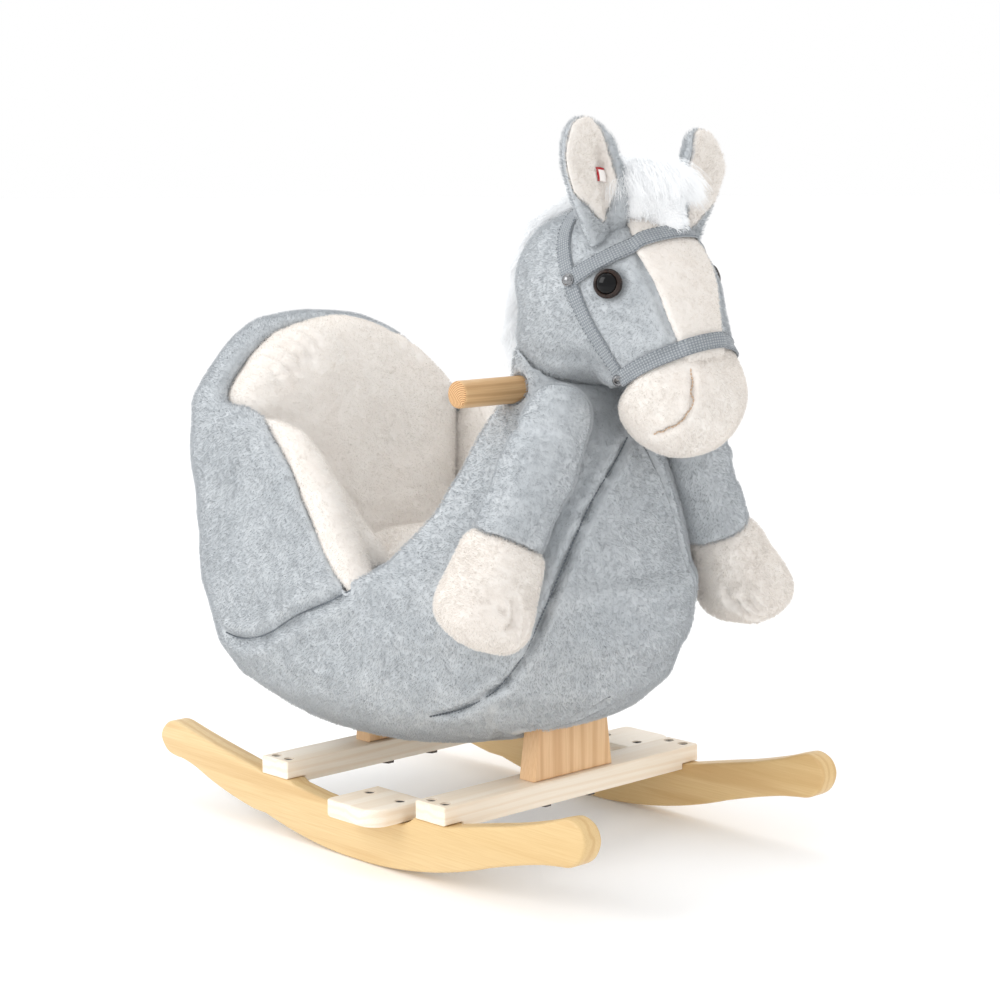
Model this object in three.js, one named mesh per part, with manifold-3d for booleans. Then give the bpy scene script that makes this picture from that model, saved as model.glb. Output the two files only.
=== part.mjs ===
// Plush rocking horse with a bucket seat, on a wooden rocker base.
// Millimetres. +X is forward (the way the horse faces), +Y is the horse's left, +Z is up.
// The origin is on the floor, under the middle of the whole object's box.
import * as THREE from "three";
import { mergeVertices } from "three/addons/utils/BufferGeometryUtils.js";
import Module from "manifold-3d";

const wasm = await Module();
wasm.setup();

// ---------------------------------------------------------------- driving dimensions
const SHIFT_X = 5.577; // moves the layout so that the box is centred on the origin
const GAP = 0.35; // clearance between pieces that touch
const BASE_W = 300; // over the outer faces of the rockers
const BOARD_T = 19; // thickness of the rocker boards
const ROCK_R = 485; // radius of the rocking edge
const ROCK_X = 9; // where the rocking edge meets the floor
const BAR_W = 35.5,
  BAR_H = 20,
  BAR_LAP = 5;
const BAR_FRONT_X = 86,
  BAR_REAR_X = -113.5;
const BAR_Z = 50.5; // seat of the bars on the rockers
const HANDLE_D = 22,
  HANDLE_L = 240,
  HANDLE_X = 105,
  HANDLE_Z = 390;
const RISER_TOP = 129.7,
  SEAT_BOARD_Z = 130,
  SEAT_BOARD_T = 12;
const LEG_R = 32;
const SHOULDER_R = [170, -64, 388],
  SHOULDER_L = [170, 60, 388];
const CUFF_R = [150.5, -114.5, 277.5],
  CUFF_L = [171, 113, 266];

// ---------------------------------------------------------------- finishes
const finish = (hex, roughness, metalness = 0) =>
  new THREE.MeshStandardMaterial({ color: hex, roughness, metalness });
const GREY = finish(0xb4bac0, 0.95);
const CREAM = finish(0xf1e6dc, 0.95);
const WHITE = finish(0xf4f4f4, 0.95);
const PINE = finish(0xe9cf9f, 0.55);
const BEECH = finish(0xe3c8a4, 0.55);
const ALDER = finish(0xd9a878, 0.6);
const DOWEL = finish(0xdab483, 0.55);
const PLY = finish(0xd8bd92, 0.7);
const WEBBING = finish(0x9aa0a5, 0.85);
const STEEL = finish(0x8c8c8c, 0.35, 0.9);
const EYE = finish(0x2a1a12, 0.12);
const PLASTIC = finish(0xe8e8e8, 0.5);
const LABEL = finish(0xb51f2c, 0.8);

// ---------------------------------------------------------------- small tools
const v3 = (a) => new THREE.Vector3(...a);
function solid(geometry) {
  let g = geometry.index ? geometry.toNonIndexed() : geometry.clone();
  const bare = new THREE.BufferGeometry().setAttribute(
    "position",
    g.getAttribute("position"),
  );
  const m = mergeVertices(bare, 1e-3);
  return new wasm.Manifold(
    new wasm.Mesh({
      numProp: 3,
      vertProperties: m.attributes.position.array,
      triVerts: new Uint32Array(m.index.array),
    }),
  );
}
function shape(s) {
  const m = s.getMesh(),
    n = m.numProp;
  const v = new Float32Array(m.numVert * 3);
  for (let i = 0; i < m.numVert; i++)
    v.set(m.vertProperties.subarray(i * n, i * n + 3), i * 3);
  const g = new THREE.BufferGeometry();
  g.setAttribute("position", new THREE.BufferAttribute(v, 3));
  g.setIndex(new THREE.BufferAttribute(m.triVerts, 1));
  g.computeVertexNormals();
  return g;
}
// The largest connected piece, so that a boolean leaves no crumbs.
const biggest = (s) =>
  s.decompose().reduce((a, b) => (b.volume() > a.volume() ? b : a));

// A closed skin over a stack of rings with the same number of points.
function loft(rings) {
  const n = rings[0].length,
    pos = [],
    idx = [];
  for (const r of rings) for (const p of r) pos.push(p[0], p[1], p[2]);
  for (let k = 0; k + 1 < rings.length; k++)
    for (let i = 0; i < n; i++) {
      const a = k * n + i,
        b = k * n + ((i + 1) % n),
        c = a + n,
        d = b + n;
      idx.push(a, b, d, a, d, c);
    }
  for (const [k, flip] of [
    [0, true],
    [rings.length - 1, false],
  ]) {
    const c = [0, 0, 0];
    for (const p of rings[k]) for (let j = 0; j < 3; j++) c[j] += p[j] / n;
    const ci = pos.length / 3;
    pos.push(...c);
    for (let i = 0; i < n; i++) {
      const a = k * n + i,
        b = k * n + ((i + 1) % n);
      if (flip) idx.push(ci, b, a);
      else idx.push(ci, a, b);
    }
  }
  const g = new THREE.BufferGeometry();
  g.setAttribute("position", new THREE.Float32BufferAttribute(pos, 3));
  g.setIndex(idx);
  let s = solid(g);
  if (s.volume() < 0) {
    for (let i = 0; i < idx.length; i += 3)
      [idx[i + 1], idx[i + 2]] = [idx[i + 2], idx[i + 1]];
    g.setIndex(idx);
    s = solid(g);
  }
  return s;
}
const box = (x0, x1, y0, y1, z0, z1) =>
  solid(
    new THREE.BoxGeometry(x1 - x0, y1 - y0, z1 - z0).translate(
      (x0 + x1) / 2,
      (y0 + y1) / 2,
      (z0 + z1) / 2,
    ),
  );
function ellipsoid(c, r, seg = 28, pitch = 0) {
  const g = new THREE.SphereGeometry(1, seg, Math.round(seg * 0.6));
  g.rotateX(Math.PI / 2).scale(...r);
  if (pitch) g.rotateY(pitch);
  return solid(g.translate(...c));
}
function cylinderBetween(a, b, r, seg = 20, r2 = r) {
  const A = v3(a),
    B = v3(b),
    d = B.clone().sub(A);
  const g = new THREE.CylinderGeometry(r2, r, d.length(), seg, 1);
  g.translate(0, d.length() / 2, 0);
  g.applyQuaternion(
    new THREE.Quaternion().setFromUnitVectors(
      new THREE.Vector3(0, 1, 0),
      d.normalize(),
    ),
  );
  return solid(g.translate(A.x, A.y, A.z));
}
// An outline in X and Z, extruded along Y from y0 to y1.
function slabXZ(points, y0, y1, steps = 1) {
  const s = new THREE.Shape(points.map(([x, z]) => new THREE.Vector2(x, z)));
  const g = new THREE.ExtrudeGeometry(s, {
    depth: y1 - y0,
    bevelEnabled: false,
    steps,
  });
  g.rotateX(Math.PI / 2).translate(0, y1, 0);
  return solid(g);
}
// An outline in Y and Z, extruded along X from x0 to x1.
function slabYZ(points, x0, x1) {
  const s = new THREE.Shape(points.map(([y, z]) => new THREE.Vector2(y, z)));
  const g = new THREE.ExtrudeGeometry(s, {
    depth: x1 - x0,
    bevelEnabled: false,
    steps: 1,
  });
  g.applyMatrix4(
    new THREE.Matrix4().set(0, 0, 1, x0, 1, 0, 0, 0, 0, 1, 0, 0, 0, 0, 0, 1),
  );
  return solid(g);
}
// An outline in X and Y, extruded up from z0 to z1.
function slabXY(points, z0, z1) {
  const s = new THREE.Shape(points.map(([x, y]) => new THREE.Vector2(x, y)));
  return solid(
    new THREE.ExtrudeGeometry(s, {
      depth: z1 - z0,
      bevelEnabled: false,
      steps: 1,
    }).translate(0, 0, z0),
  );
}
const smooth = (pts, n, closed = false) =>
  new THREE.CatmullRomCurve3(
    pts.map(([x, z]) => new THREE.Vector3(x, z, 0)),
    closed,
    "centripetal",
  )
    .getPoints(n)
    .map((p) => [p.x, p.y]);
// Straight interpolation in a table whose first column is the key.
function table(rows, z) {
  if (z <= rows[0][0]) return rows[0].slice(1);
  for (let i = 1; i < rows.length; i++)
    if (z <= rows[i][0]) {
      const t = (z - rows[i - 1][0]) / (rows[i][0] - rows[i - 1][0]);
      return rows[i].slice(1).map((v, j) => rows[i - 1][j + 1] * (1 - t) + v * t);
    }
  return rows[rows.length - 1].slice(1);
}
// A plan outline: a rounded form from xb to xf, widest (w) at xm, with its own squareness behind and in front.
function planRing(z, xb, xf, xm, w, nb, nf, seg) {
  const ring = [];
  for (let i = 0; i < seg; i++) {
    const t = (i / seg) * 2 * Math.PI,
      c = Math.cos(t),
      s = Math.sin(t);
    const n = c >= 0 ? nf : nb,
      a = c >= 0 ? xf - xm : xm - xb;
    ring.push([
      xm + a * Math.sign(c) * Math.abs(c) ** (2 / n),
      w * Math.sign(s) * Math.abs(s) ** (2 / n),
      z,
    ]);
  }
  return ring;
}
const planLoft = (rows, levels, seg, d = 0) =>
  loft(
    levels.map((z) => {
      const [xb, xf, xm, w, nb, nf] = table(rows, z);
      return planRing(z, xb - d, xf + d, xm, w + d, nb, nf, seg);
    }),
  );

const nodes = [];
const put = (name, s, material) => {
  const mesh = new THREE.Mesh(shape(s), material);
  mesh.name = name;
  nodes.push(mesh);
  return mesh;
};

// ---------------------------------------------------------------- wooden base
const H = BASE_W / 2,
  Y_MID = H - BOARD_T / 2;
// Underside: the rocking arc with a short flat where it stands, then the curled-up ends.
const STAND = 16; // half length of the short flat it stands on
const arc = (x) => {
  const d = Math.abs(x - ROCK_X);
  return d <= STAND ? 0 : ROCK_R - Math.sqrt(ROCK_R * ROCK_R - d * d) - 0.26;
};
const under = [];
for (let i = -8; i <= 8; i++) under.push([ROCK_X + Math.sign(i) * (STAND + (Math.abs(i) - 1) * 22), 0]);
under.splice(8, 1);
for (const u of under) u[1] = arc(u[0]);
const frontEnd = smooth([
  [185, arc(182)], [206, 37.4], [229, 42.8], [246, 45.4], [260, 47.6], [271, 55], [276, 68], [271, 79.5], [259, 84.5], [246, 81.5], [229, 75.6], [197, 66.8], [166, 60], [128, 51.5],
], 16);
const backEnd = smooth([
  [-118, 52], [-149, 57.2], [-180, 62.4], [-211, 68], [-228, 71.5], [-241, 73.6], [-252, 71.5], [-261, 63.5], [-263, 55], [-255, 45], [-244, 41.5], [-230, 40.5], [-212, 36.6], [-190, 29.2], [-168, 23.2], [-148, 18.8], [-128, 15.2],
], 20);
const rockerOutline = [
  ...under.filter(([x]) => x > -112 && x < 172),
  ...frontEnd,
  [BAR_FRONT_X + BAR_W + 2, BAR_Z], [BAR_FRONT_X - 2, BAR_Z],
  [78, 46.2], [69.5, 42], [7, 42], [-2, 42], [-40, 44], [-70, 47.6],
  [BAR_REAR_X + BAR_W + 2, BAR_Z], [BAR_REAR_X - 2, BAR_Z],
  ...backEnd,
];
const BAR_SCREW = [];
for (const bx of [BAR_REAR_X, BAR_FRONT_X])
  for (const dx of [9.5, 26]) BAR_SCREW.push(bx + dx);
const REST_X = [8, 68], REST_Y = [122, 179], REST_Z = 42.3, REST_T = 15;
const REST_SCREW = [19, 57];
function screwHole(x, y, z0, z1, d = 0) {
  return cylinderBetween([x, y, z0], [x, y, z1], 2.6 + d, 12);
}
// A countersunk screw, head up, from z (top of the head) down.
function screw(x, y, z, length, r = 2, head = 4) {
  const p = [[0, 0], [head, 0], [head, -0.6], [r, -3.2], [r, -(length - 3)], [0.5, -length], [0, -length]].reverse();
  const g = new THREE.LatheGeometry(p.map(([a, b]) => new THREE.Vector2(a, b)), 8);
  g.rotateX(Math.PI / 2).translate(x, y, z);
  const drive = cylinderBetween([x, y, z - 1.8], [x, y, z + 1], 1.8, 6);
  return solid(g).subtract(drive);
}
function screwSeat(x, y, z, length, r = 2, head = 4) {
  const c = GAP;
  const p = [[0, 2], [head + c + 0.3, 2], [head + c, -0.6 - c], [r + c, -3.2 - c], [r + c, -(length - 3)], [0.5 + c, -length - c], [0, -length - c]].reverse();
  const g = new THREE.LatheGeometry(p.map(([a, b]) => new THREE.Vector2(a, b)), 10);
  return solid(g.rotateX(Math.PI / 2).translate(x, y, z));
}
for (const [side, s] of [["right", -1], ["left", 1]]) {
  let r = slabXZ(rockerOutline, s > 0 ? H - BOARD_T : -H, s > 0 ? H : -H + BOARD_T);
  for (const x of BAR_SCREW) r = r.subtract(screwSeat(x, s * Y_MID, BAR_Z + BAR_H - BAR_LAP - 0.8, 38));
  for (const x of REST_SCREW) r = r.subtract(screwSeat(x, s * Y_MID, REST_Z + REST_T - 0.8, 32));
  put("rocker_" + side, r, PINE);
}
for (const [name, x0] of [["crossbar_front", BAR_FRONT_X], ["crossbar_rear", BAR_REAR_X]]) {
  const z0 = BAR_Z + GAP, zt = z0 + BAR_H - BAR_LAP, zb = zt - BAR_H, e = H - BOARD_T - GAP, c = 1.2;
  let b = slabYZ([[-H, z0], [-e, z0], [-e, zb], [e, zb], [e, z0], [H, z0], [H, zt - c], [H - c, zt], [-H + c, zt], [-H, zt - c]], x0, x0 + BAR_W);
  for (const s of [-1, 1]) for (const x of BAR_SCREW) b = b.subtract(screwSeat(x, s * Y_MID, BAR_Z + BAR_H - BAR_LAP - 0.8, 38));
  const xr = name === "crossbar_front" ? 107.5 : -91.5;
  for (const y of [-26, 26]) b = b.subtract(cylinderBetween([xr, y, 20], [xr, y, 90], 3.6, 12));
  put(name, b, BEECH);
}
for (const [side, s] of [["right", -1], ["left", 1]]) {
  const [x0, x1] = REST_X, [y0, y1] = REST_Y, r = 17, pts = [];
  pts.push([x0, y0 * s], [x1, y0 * s]);
  for (let i = 0; i <= 5; i++) { const t = (i / 5) * Math.PI / 2; pts.push([x1 - r + r * Math.cos(t), s * (y1 - r + r * Math.sin(t))]); }
  pts.push([x0 + 3, y1 * s], [x0, (y1 - 3) * s]);
  let p = slabXY(s > 0 ? pts : pts.slice().reverse(), REST_Z, REST_Z + REST_T);
  for (const x of REST_SCREW) p = p.subtract(screwSeat(x, s * Y_MID, REST_Z + REST_T - 0.8, 32));
  put("footrest_" + side, p, BEECH);
  BAR_SCREW.forEach((x, i) => put(`bar_screw_${side}_${i + 1}`, screw(x, s * Y_MID, BAR_Z + BAR_H - BAR_LAP - 0.8, 38), STEEL));
  REST_SCREW.forEach((x, i) => put(`footrest_screw_${side}_${i + 1}`, screw(x, s * Y_MID, REST_Z + REST_T - 0.8, 32), STEEL));
}
// Trapezoid risers that carry the body on the bars, each held by a long bolt from below.
const barTop = BAR_Z + GAP + BAR_H - BAR_LAP;
const riserForm = (x0, x1, wb, wt, d = 0) =>
  slabYZ([[-wb - d, barTop + GAP - d], [wb + d, barTop + GAP - d], [wt + d, RISER_TOP + d], [-wt - d, RISER_TOP + d]], x0 - d, x1 + d);
const RISERS = { front: [98, 117, 46, 37], rear: [-101, -82, 55, 49] };
const boltAt = { front: 107.5, rear: -91.5 };
const boardBore = [];
for (const k of ["front", "rear"]) {
  let r = riserForm(...RISERS[k]);
  for (const y of [-26, 26]) r = r.subtract(cylinderBetween([boltAt[k], y, 40], [boltAt[k], y, 150], 3.6, 12));
  put("riser_" + k, r, ALDER);
}
const zBolt = barTop - BAR_H;
for (const k of ["front", "rear"]) {
  // hex-headed bolts up through bar and riser into the seat board
  [-26, 26].forEach((y, i) => {
    const head = solid(new THREE.CylinderGeometry(6, 6, 4, 6).rotateX(Math.PI / 2).translate(boltAt[k], y, zBolt - 2.4));
    const b = head.add(cylinderBetween([boltAt[k], y, zBolt - 2], [boltAt[k], y, SEAT_BOARD_Z + 10], 3, 10));
    put(`riser_bolt_${k}_${i + 1}`, b, STEEL);
    boardBore.push(cylinderBetween([boltAt[k], y, SEAT_BOARD_Z - 2], [boltAt[k], y, SEAT_BOARD_Z + 10.5], 3.5, 10));
  });
}

// ---------------------------------------------------------------- frame inside the body
const boardPts = smooth([[-178, 0], [-175, 52], [-150, 74], [-60, 84], [40, 80], [90, 62], [118, 44], [124, 0], [118, -44], [90, -62], [40, -80], [-60, -84], [-150, -74], [-175, -52]], 36, true).slice(0, -1);
let seatBoard = slabXY(boardPts, SEAT_BOARD_Z + 0.05, SEAT_BOARD_Z + SEAT_BOARD_T);
for (const b of boardBore) seatBoard = seatBoard.subtract(b);
const seatBoardGrown = slabXY(boardPts.map(([x, y]) => [x * 1.006, y * 1.008]), SEAT_BOARD_Z - GAP, SEAT_BOARD_Z + SEAT_BOARD_T + GAP);
put("seat_board", biggest(seatBoard), PLY);

const postForm = (d) => box(90 - d, 120 + d, -32 - d, 32 + d, SEAT_BOARD_Z + SEAT_BOARD_T + GAP - d, 440 + d);
const dowelForm = (d, L = HANDLE_L / 2) => cylinderBetween([HANDLE_X, -L - d, HANDLE_Z], [HANDLE_X, L + d, HANDLE_Z], HANDLE_D / 2 + d, 24);
const PIN = [[HANDLE_X - 16, 0, HANDLE_Z], [HANDLE_X + 6, 0, HANDLE_Z]];
const pinForm = (d) => cylinderBetween([PIN[0][0] - d, 0, HANDLE_Z], [PIN[1][0] + d, 0, HANDLE_Z], 2 + d, 10);
put("neck_post", postForm(0).subtract(dowelForm(GAP, 200)).subtract(pinForm(GAP)), PLY);
put("handle_bar", dowelForm(0).subtract(pinForm(GAP)), DOWEL);
put("handle_pin", pinForm(0), STEEL);
// Leaning plywood back
const backBoard = (d) => {
  const bottom = SEAT_BOARD_Z + SEAT_BOARD_T + GAP - d, top = 398 + d, rings = [];
  for (let i = 0; i <= 2; i++) {
    const z = bottom + ((top - bottom) * i) / 2, t = (z - 146) / 252;
    const x = -168 - 64 * t;
    const w = 50 + 34 * t + d;
    rings.push([[x - 4.5 - d, -w, z], [x + 4.5 + d, -w, z], [x + 4.5 + d, w, z], [x - 4.5 - d, w, z]]);
  }
  return loft(rings);
};
put("backrest_board", backBoard(0), PLY);

// ---------------------------------------------------------------- plush body
const LOWER = [
  // z, xb, xf, xm, w, nb, nf
  [77, -116, 20, -40, 46, 2.4, 2.1],
  [82, -145, 62, -38, 74, 2.7, 2.1],
  [90, -172, 100, -36, 95, 3.0, 2.1],
  [103, -203, 136, -34, 114, 3.4, 2.1],
  [122, -229, 167, -33, 131, 3.8, 2.1],
  [147, -243, 188, -32, 141, 4.3, 2.1],
  [178, -250, 203, -31, 146.5, 4.5, 2.05],
  [205, -254, 210, -30, 149, 4.5, 2.0],
  [232, -257, 212, -30, 150, 4.5, 2.0],
];
const REAR = [
  [200, -253, 60, -30, 148, 4.5, 3],
  [260, -259, 60, -30, 151, 4.5, 3],
  [320, -263, 60, -30, 153, 4.4, 3],
  [365, -266, 60, -30, 153, 4.5, 3],
  [400, -264, 60, -30, 150, 4.4, 3],
  [450, -258, 60, -30, 140, 4.2, 3],
];
const FRONT = [
  [190, -5, 200, 20, 138, 2.4, 2.0],
  [232, 2, 210.5, 10, 147, 2.3, 2.0],
  [252, 28, 207, 38, 139, 2.3, 2.0],
  [274, 47, 204, 56, 126, 2.3, 2.0],
  [300, 62, 200, 70, 111, 2.2, 2.0],
  [330, 71, 194, 80, 94, 2.2, 2.0],
  [355, 76, 186, 88, 81, 2.2, 2.0],
  [378, 79, 170, 96, 66, 2.2, 2.0],
  [404, 80, 152, 106, 54, 2.2, 2.0],
];
const SEG = 32;
const lower = planLoft(LOWER, LOWER.map((r) => r[0]), SEG);
// The rim of the seat, seen from the side: level behind, down to the notch for the rider's leg, and up to the neck.
const RIM = smooth([[-300, 366], [-240, 369], [-190, 370], [-150, 366], [-115, 357], [-85, 344], [-62, 322], [-42, 294], [-22, 262], [-4, 240], [14, 228], [60, 226]], 26);
const rimCut = (lift) => slabXZ([...RIM.map(([x, z]) => [x, z + lift]), [80, 226 + lift], [80, 600], [-320, 600]], -220, 220);
// The crown of the backrest, seen from the front.
const crown = (y, w, base, rise) => base + rise * Math.max(0, 1 - (Math.abs(y) / w) ** 2.05) ** 0.9;
const rear0 = planLoft(REAR, [200, 260, 320, 365, 400, 450], SEG);
const crownPts = (base, rise, w, n = 18) => {
  const p = [];
  for (let i = 0; i <= n; i++) { const y = -w + (2 * w * i) / n; p.push([y, crown(y, w, base, rise)]); }
  return p;
};
// The back part reaches up to the crown; in front of it the wings follow the rim.
const backZone = slabXZ([[-300, 150], [-178, 150], [-196, 500], [-300, 500]], -220, 220);
const crownSolid = slabYZ([[-156, 100], [156, 100], [156, 350], ...crownPts(352, 84, 154).reverse(), [-156, 350]], -300, -100);
const backPart = rear0.intersect(backZone).intersect(crownSolid);
const wings = rear0.subtract(rimCut(0));
const front = planLoft(FRONT, FRONT.map((r) => r[0]), 26);

// The soft furnishings that line the seat
const PAD_BACK = [
  // z, back x, front x, half width
  [204, -150, -106, 62],
  [240, -160, -110, 72],
  [300, -182, -127, 92],
  [360, -204, -148, 112],
  [400, -216, -163, 118],
  [446, -226, -180, 110],
];
const backPad = (d) => {
  const rings = [204 - d, 240, 270, 300, 330, 360, 385, 410, 430, 446 + d].map((z) => {
    const [xb, xf, w] = table(PAD_BACK, z);
    return planRing(z, xb - d, xf + d, (xb + xf) / 2 - 4, w + d, 5, 3, 28);
  });
  const c = slabYZ([[-150, 150], [150, 150], ...crownPts(340 + d, 101, 146, 16).reverse()], -300, -50);
  return loft(rings).intersect(c);
};
const wingPadBody = (d) => {
  // a wedge on the right side from the back pad to the notch: thick below, thin at the rim
  const rows = [[196 - d, 66], [240, 74], [280, 90], [320, 103], [376, 112]];
  const rings = rows.map(([z, yi]) => {
    const x0 = -196 - d, x1 = 24 + d, yo = 133.5 + d, yn = yi - d;
    return [[x0, -yo, z], [x1, -yo, z], [x1, -yn, z], [-60, -yn, z], [x0, -yn + 6, z]].map(([x, y]) => [x, y, z]);
  });
  return loft(rings);
};
const CUSHION = smooth([[-104, 0], [-104, 52], [-88, 66], [-50, 78], [-20, 104], [4, 136], [24, 141], [44, 132], [60, 100], [70, 60], [74, 0], [70, -60], [60, -100], [44, -132], [24, -141], [4, -136], [-20, -104], [-50, -78], [-88, -66], [-104, -52]], 32, true).slice(0, -1);
const cushion = (d) => {
  const rings = [[198 - d, 0.97], [206, 1], [222, 1], [234, 0.985], [243, 0.93], [249, 0.8], [252 + d, 0.5]].map(([z, k]) =>
    CUSHION.map(([x, y]) => {
      const f = k + d / 100, droop = z > 222 ? 1 - 0.45 * (Math.abs(y) / 141) ** 3 : 1;
      return [-15 + (x + 15) * f, y * f, 222 + (z - 222) * droop];
    }),
  );
  return loft(rings);
};
// The hollow where the child sits, out to the linings
const WING_IN = [
  // z, half width between the wing linings
  [196, 66],
  [240, 74],
  [280, 90],
  [320, 103],
  [372, 112],
  [480, 118],
];
const hollowLoft = loft(
  [205, 225, 250, 280, 310, 340, 372, 480].map((z) => {
    const [yi] = table(WING_IN, z),
      [xb, xf] = table(PAD_BACK, z),
      xm = (xb + xf) / 2;
    return [[xm, -yi - 1, z], [96, -yi - 1, z], [96, yi + 1, z], [xm, yi + 1, z]];
  }),
);
const headRoom = []; // shapes that other pieces cut from the body

// ---------------------------------------------------------------- legs
function limb(from, to, r, cap = true) {
  const d = v3(to).sub(v3(from)), L = d.length(), prof = [];
  // round shoulder about the pivot, slightly waisted sleeve, flat cuff
  for (let i = 0; i <= 7; i++) { const t = Math.PI / 2 - (i / 7) * (Math.PI / 2); prof.push([r * Math.cos(t), -r * Math.sin(t)]); }
  prof.push([r, L * 0.3], [r * 1.0, L * 0.7], [r * 1.02, L * 0.92], [r * 0.9, L], [0, L]);
  const g = new THREE.LatheGeometry(prof.map(([a, b]) => new THREE.Vector2(Math.max(a, 0), b)), 20);
  g.applyQuaternion(new THREE.Quaternion().setFromUnitVectors(new THREE.Vector3(0, 1, 0), d.clone().normalize()));
  return solid(g.translate(...from));
}
function hoofForm(from, to, grow = 0) {
  // a mitten-shaped hoof past the cuff
  const d = v3(to).sub(v3(from)).normalize();
  const side = new THREE.Vector3(1, 0, 0).sub(d.clone().multiplyScalar(d.x)).normalize();
  const front = new THREE.Vector3().crossVectors(side, d);
  const rows = [[0.8, 30, 28], [8, 34, 31], [26, 38, 34], [46, 42, 37], [62, 43, 38], [75, 38, 33], [84, 27, 23], [88, 11, 9]].map(
    ([s, a, b], i, all) => [s + (i === 0 ? -grow : i === all.length - 1 ? grow : 0), a + grow, b + grow],
  );
  const rings = rows.map(([s, a, b]) => {
    const c = v3(to).add(d.clone().multiplyScalar(s)).add(new THREE.Vector3(s * 0.1, 0, 0));
    const ring = [];
    for (let i = 0; i < 18; i++) {
      const t = (i / 18) * 2 * Math.PI;
      const p = c.clone().add(side.clone().multiplyScalar(a * Math.cos(t))).add(front.clone().multiplyScalar(b * Math.sin(t)));
      ring.push([p.x, p.y, p.z]);
    }
    return ring;
  });
  return loft(rings);
}
const legs = { right: [SHOULDER_R, CUFF_R], left: [SHOULDER_L, CUFF_L] };
const legSolids = {};
for (const k of ["right", "left"]) {
  legSolids[k] = limb(...legs[k], LEG_R);
  put("foreleg_" + k, legSolids[k], GREY);
  put("hoof_" + k, hoofForm(...legs[k]), CREAM);
}
const legRoom = ["right", "left"].map((k) => limb(legs[k][0], legs[k][1], LEG_R + 0.6));
const hoofRoom = ["right", "left"].map((k) => hoofForm(...legs[k], 1));

// ---------------------------------------------------------------- head
const PLANE_N = [0.68, 0, -0.733]; // the plane where the muzzle is sewn on
const PLANE_D = -142;
const halfSpace = (sign, off) => {
  const g = new THREE.BoxGeometry(2400, 2400, 2400).translate(0, 1200, 0);
  g.applyQuaternion(new THREE.Quaternion().setFromUnitVectors(new THREE.Vector3(0, 1, 0), v3(PLANE_N).normalize().multiplyScalar(sign)));
  const n = v3(PLANE_N).normalize().multiplyScalar(PLANE_D + off);
  return solid(g.translate(n.x, n.y, n.z));
};
const headRaw = ellipsoid([162, 0, 470], [92, 68, 70], 22, 0.12)
  .add(ellipsoid([200, 0, 448], [60, 59, 62], 18, 0.3))
  .add(ellipsoid([219, 0, 420], [52, 52.5, 54], 16))
  .add(ellipsoid([132, 0, 432], [58, 60, 46], 16));
let head = headRaw.intersect(halfSpace(-1, -0.2)).intersect(box(0, 400, -120, 120, 404.4, 700));
const muzzleBall = ellipsoid([233, 0, 392], [51, 52, 49.5], 22, 0.4);
let muzzle = muzzleBall.intersect(halfSpace(1, 0.2));

// Blaze: a panel on the front of the face
const blazeCut = slabYZ([[-20, 525], [20, 525], [26, 509], [34, 492], [34, 470], [31, 440], [28, 415], [-28, 415], [-31, 440], [-34, 470], [-34, 492], [-26, 509]], 150, 320);
const faceShell = (grow, shrink) => {
  const f = (d) => ellipsoid([162, 0, 470], [92 + d, 68 + d, 70 + d], 22, 0.12).add(ellipsoid([200, 0, 448], [60 + d, 59 + d, 62 + d], 18, 0.3)).add(ellipsoid([219, 0, 420], [52 + d, 52.5 + d, 54 + d], 16));
  return f(grow).subtract(f(shrink));
};
const blaze = biggest(faceShell(2.2, -2.4).intersect(blazeCut).intersect(halfSpace(-1, -1.2)));
const blazeRoom = faceShell(6, -2.8).intersect(slabYZ([[-20.4, 525.4], [20.4, 525.4], [26.4, 509.4], [34.4, 492.4], [34.4, 470], [31.4, 440], [28.4, 400], [-28.4, 400], [-31.4, 440], [-34.4, 470], [-34.4, 492.4], [-26.4, 509.4]], 150, 330));
head = head.subtract(blazeRoom);

// Ears: leaf-shaped shells with a lining let into the front
function leaf(k, grow) {
  const pts = smooth([[-9, 0], [-17, 24], [-26, 50], [-29, 74], [-19, 93], [-4, 100], [11, 95], [22, 77], [28, 50], [27, 24], [20, 0]], 20);
  return pts.map(([a, b]) => [a * k + Math.sign(a) * grow, b < 1 ? b - 0 : b * (k * 0.98 + 0.02) + grow * (b > 50 ? 1 : 0)]);
}
function earPart(points, x0, x1, side) {
  // drawn upright, then turned a little outwards and leaned out and back
  const s = side === "right" ? -1 : 1;
  const turned = s < 0 ? points : points.map(([a, b]) => [-a, b]).reverse();
  const sh = new THREE.Shape(turned.map(([a, b]) => new THREE.Vector2(a, b)));
  const g = new THREE.ExtrudeGeometry(sh, { depth: x1 - x0, bevelEnabled: false, steps: 1 });
  g.applyMatrix4(new THREE.Matrix4().set(0, 0, 1, x0, 1, 0, 0, 0, 0, 1, 0, 0, 0, 0, 0, 1));
  g.rotateX(-s * 0.17).rotateY(-0.03).rotateZ(s * 0.1);
  return solid(g.translate(194, s * 49, 506));
}
const innerLeaf = (grow) => leaf(0.8, grow).map(([a, b]) => [a, b * 0.98 + 9]);
const earSolid = {}, earNear = {};
const MODULE = { y: 0, z: 34, w: 20, h: 22 };
for (const side of ["right", "left"]) {
  let ear = earPart(leaf(1, 0), -9, 6, side);
  ear = ear.subtract(earPart(innerLeaf(0.4), 2.2, 20, side));
  let lining = earPart(innerLeaf(0), 2.6, 6.5, side);
  if (side === "right") ear = ear.subtract(earPart([[-11, 24], [11, 24], [11, 48], [-11, 48]], -6.4, 10, side));
  earSolid[side] = ear;
  // Base of the ear sunk in the head
  head = head.subtract(earPart(leaf(1, 0.5).map(([a, b]) => [a * 1.02, b - 1.5]), -9.6, 8, side));
  put("ear_" + side, ear, GREY);
  put("ear_lining_" + side, lining, CREAM);
}
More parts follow.
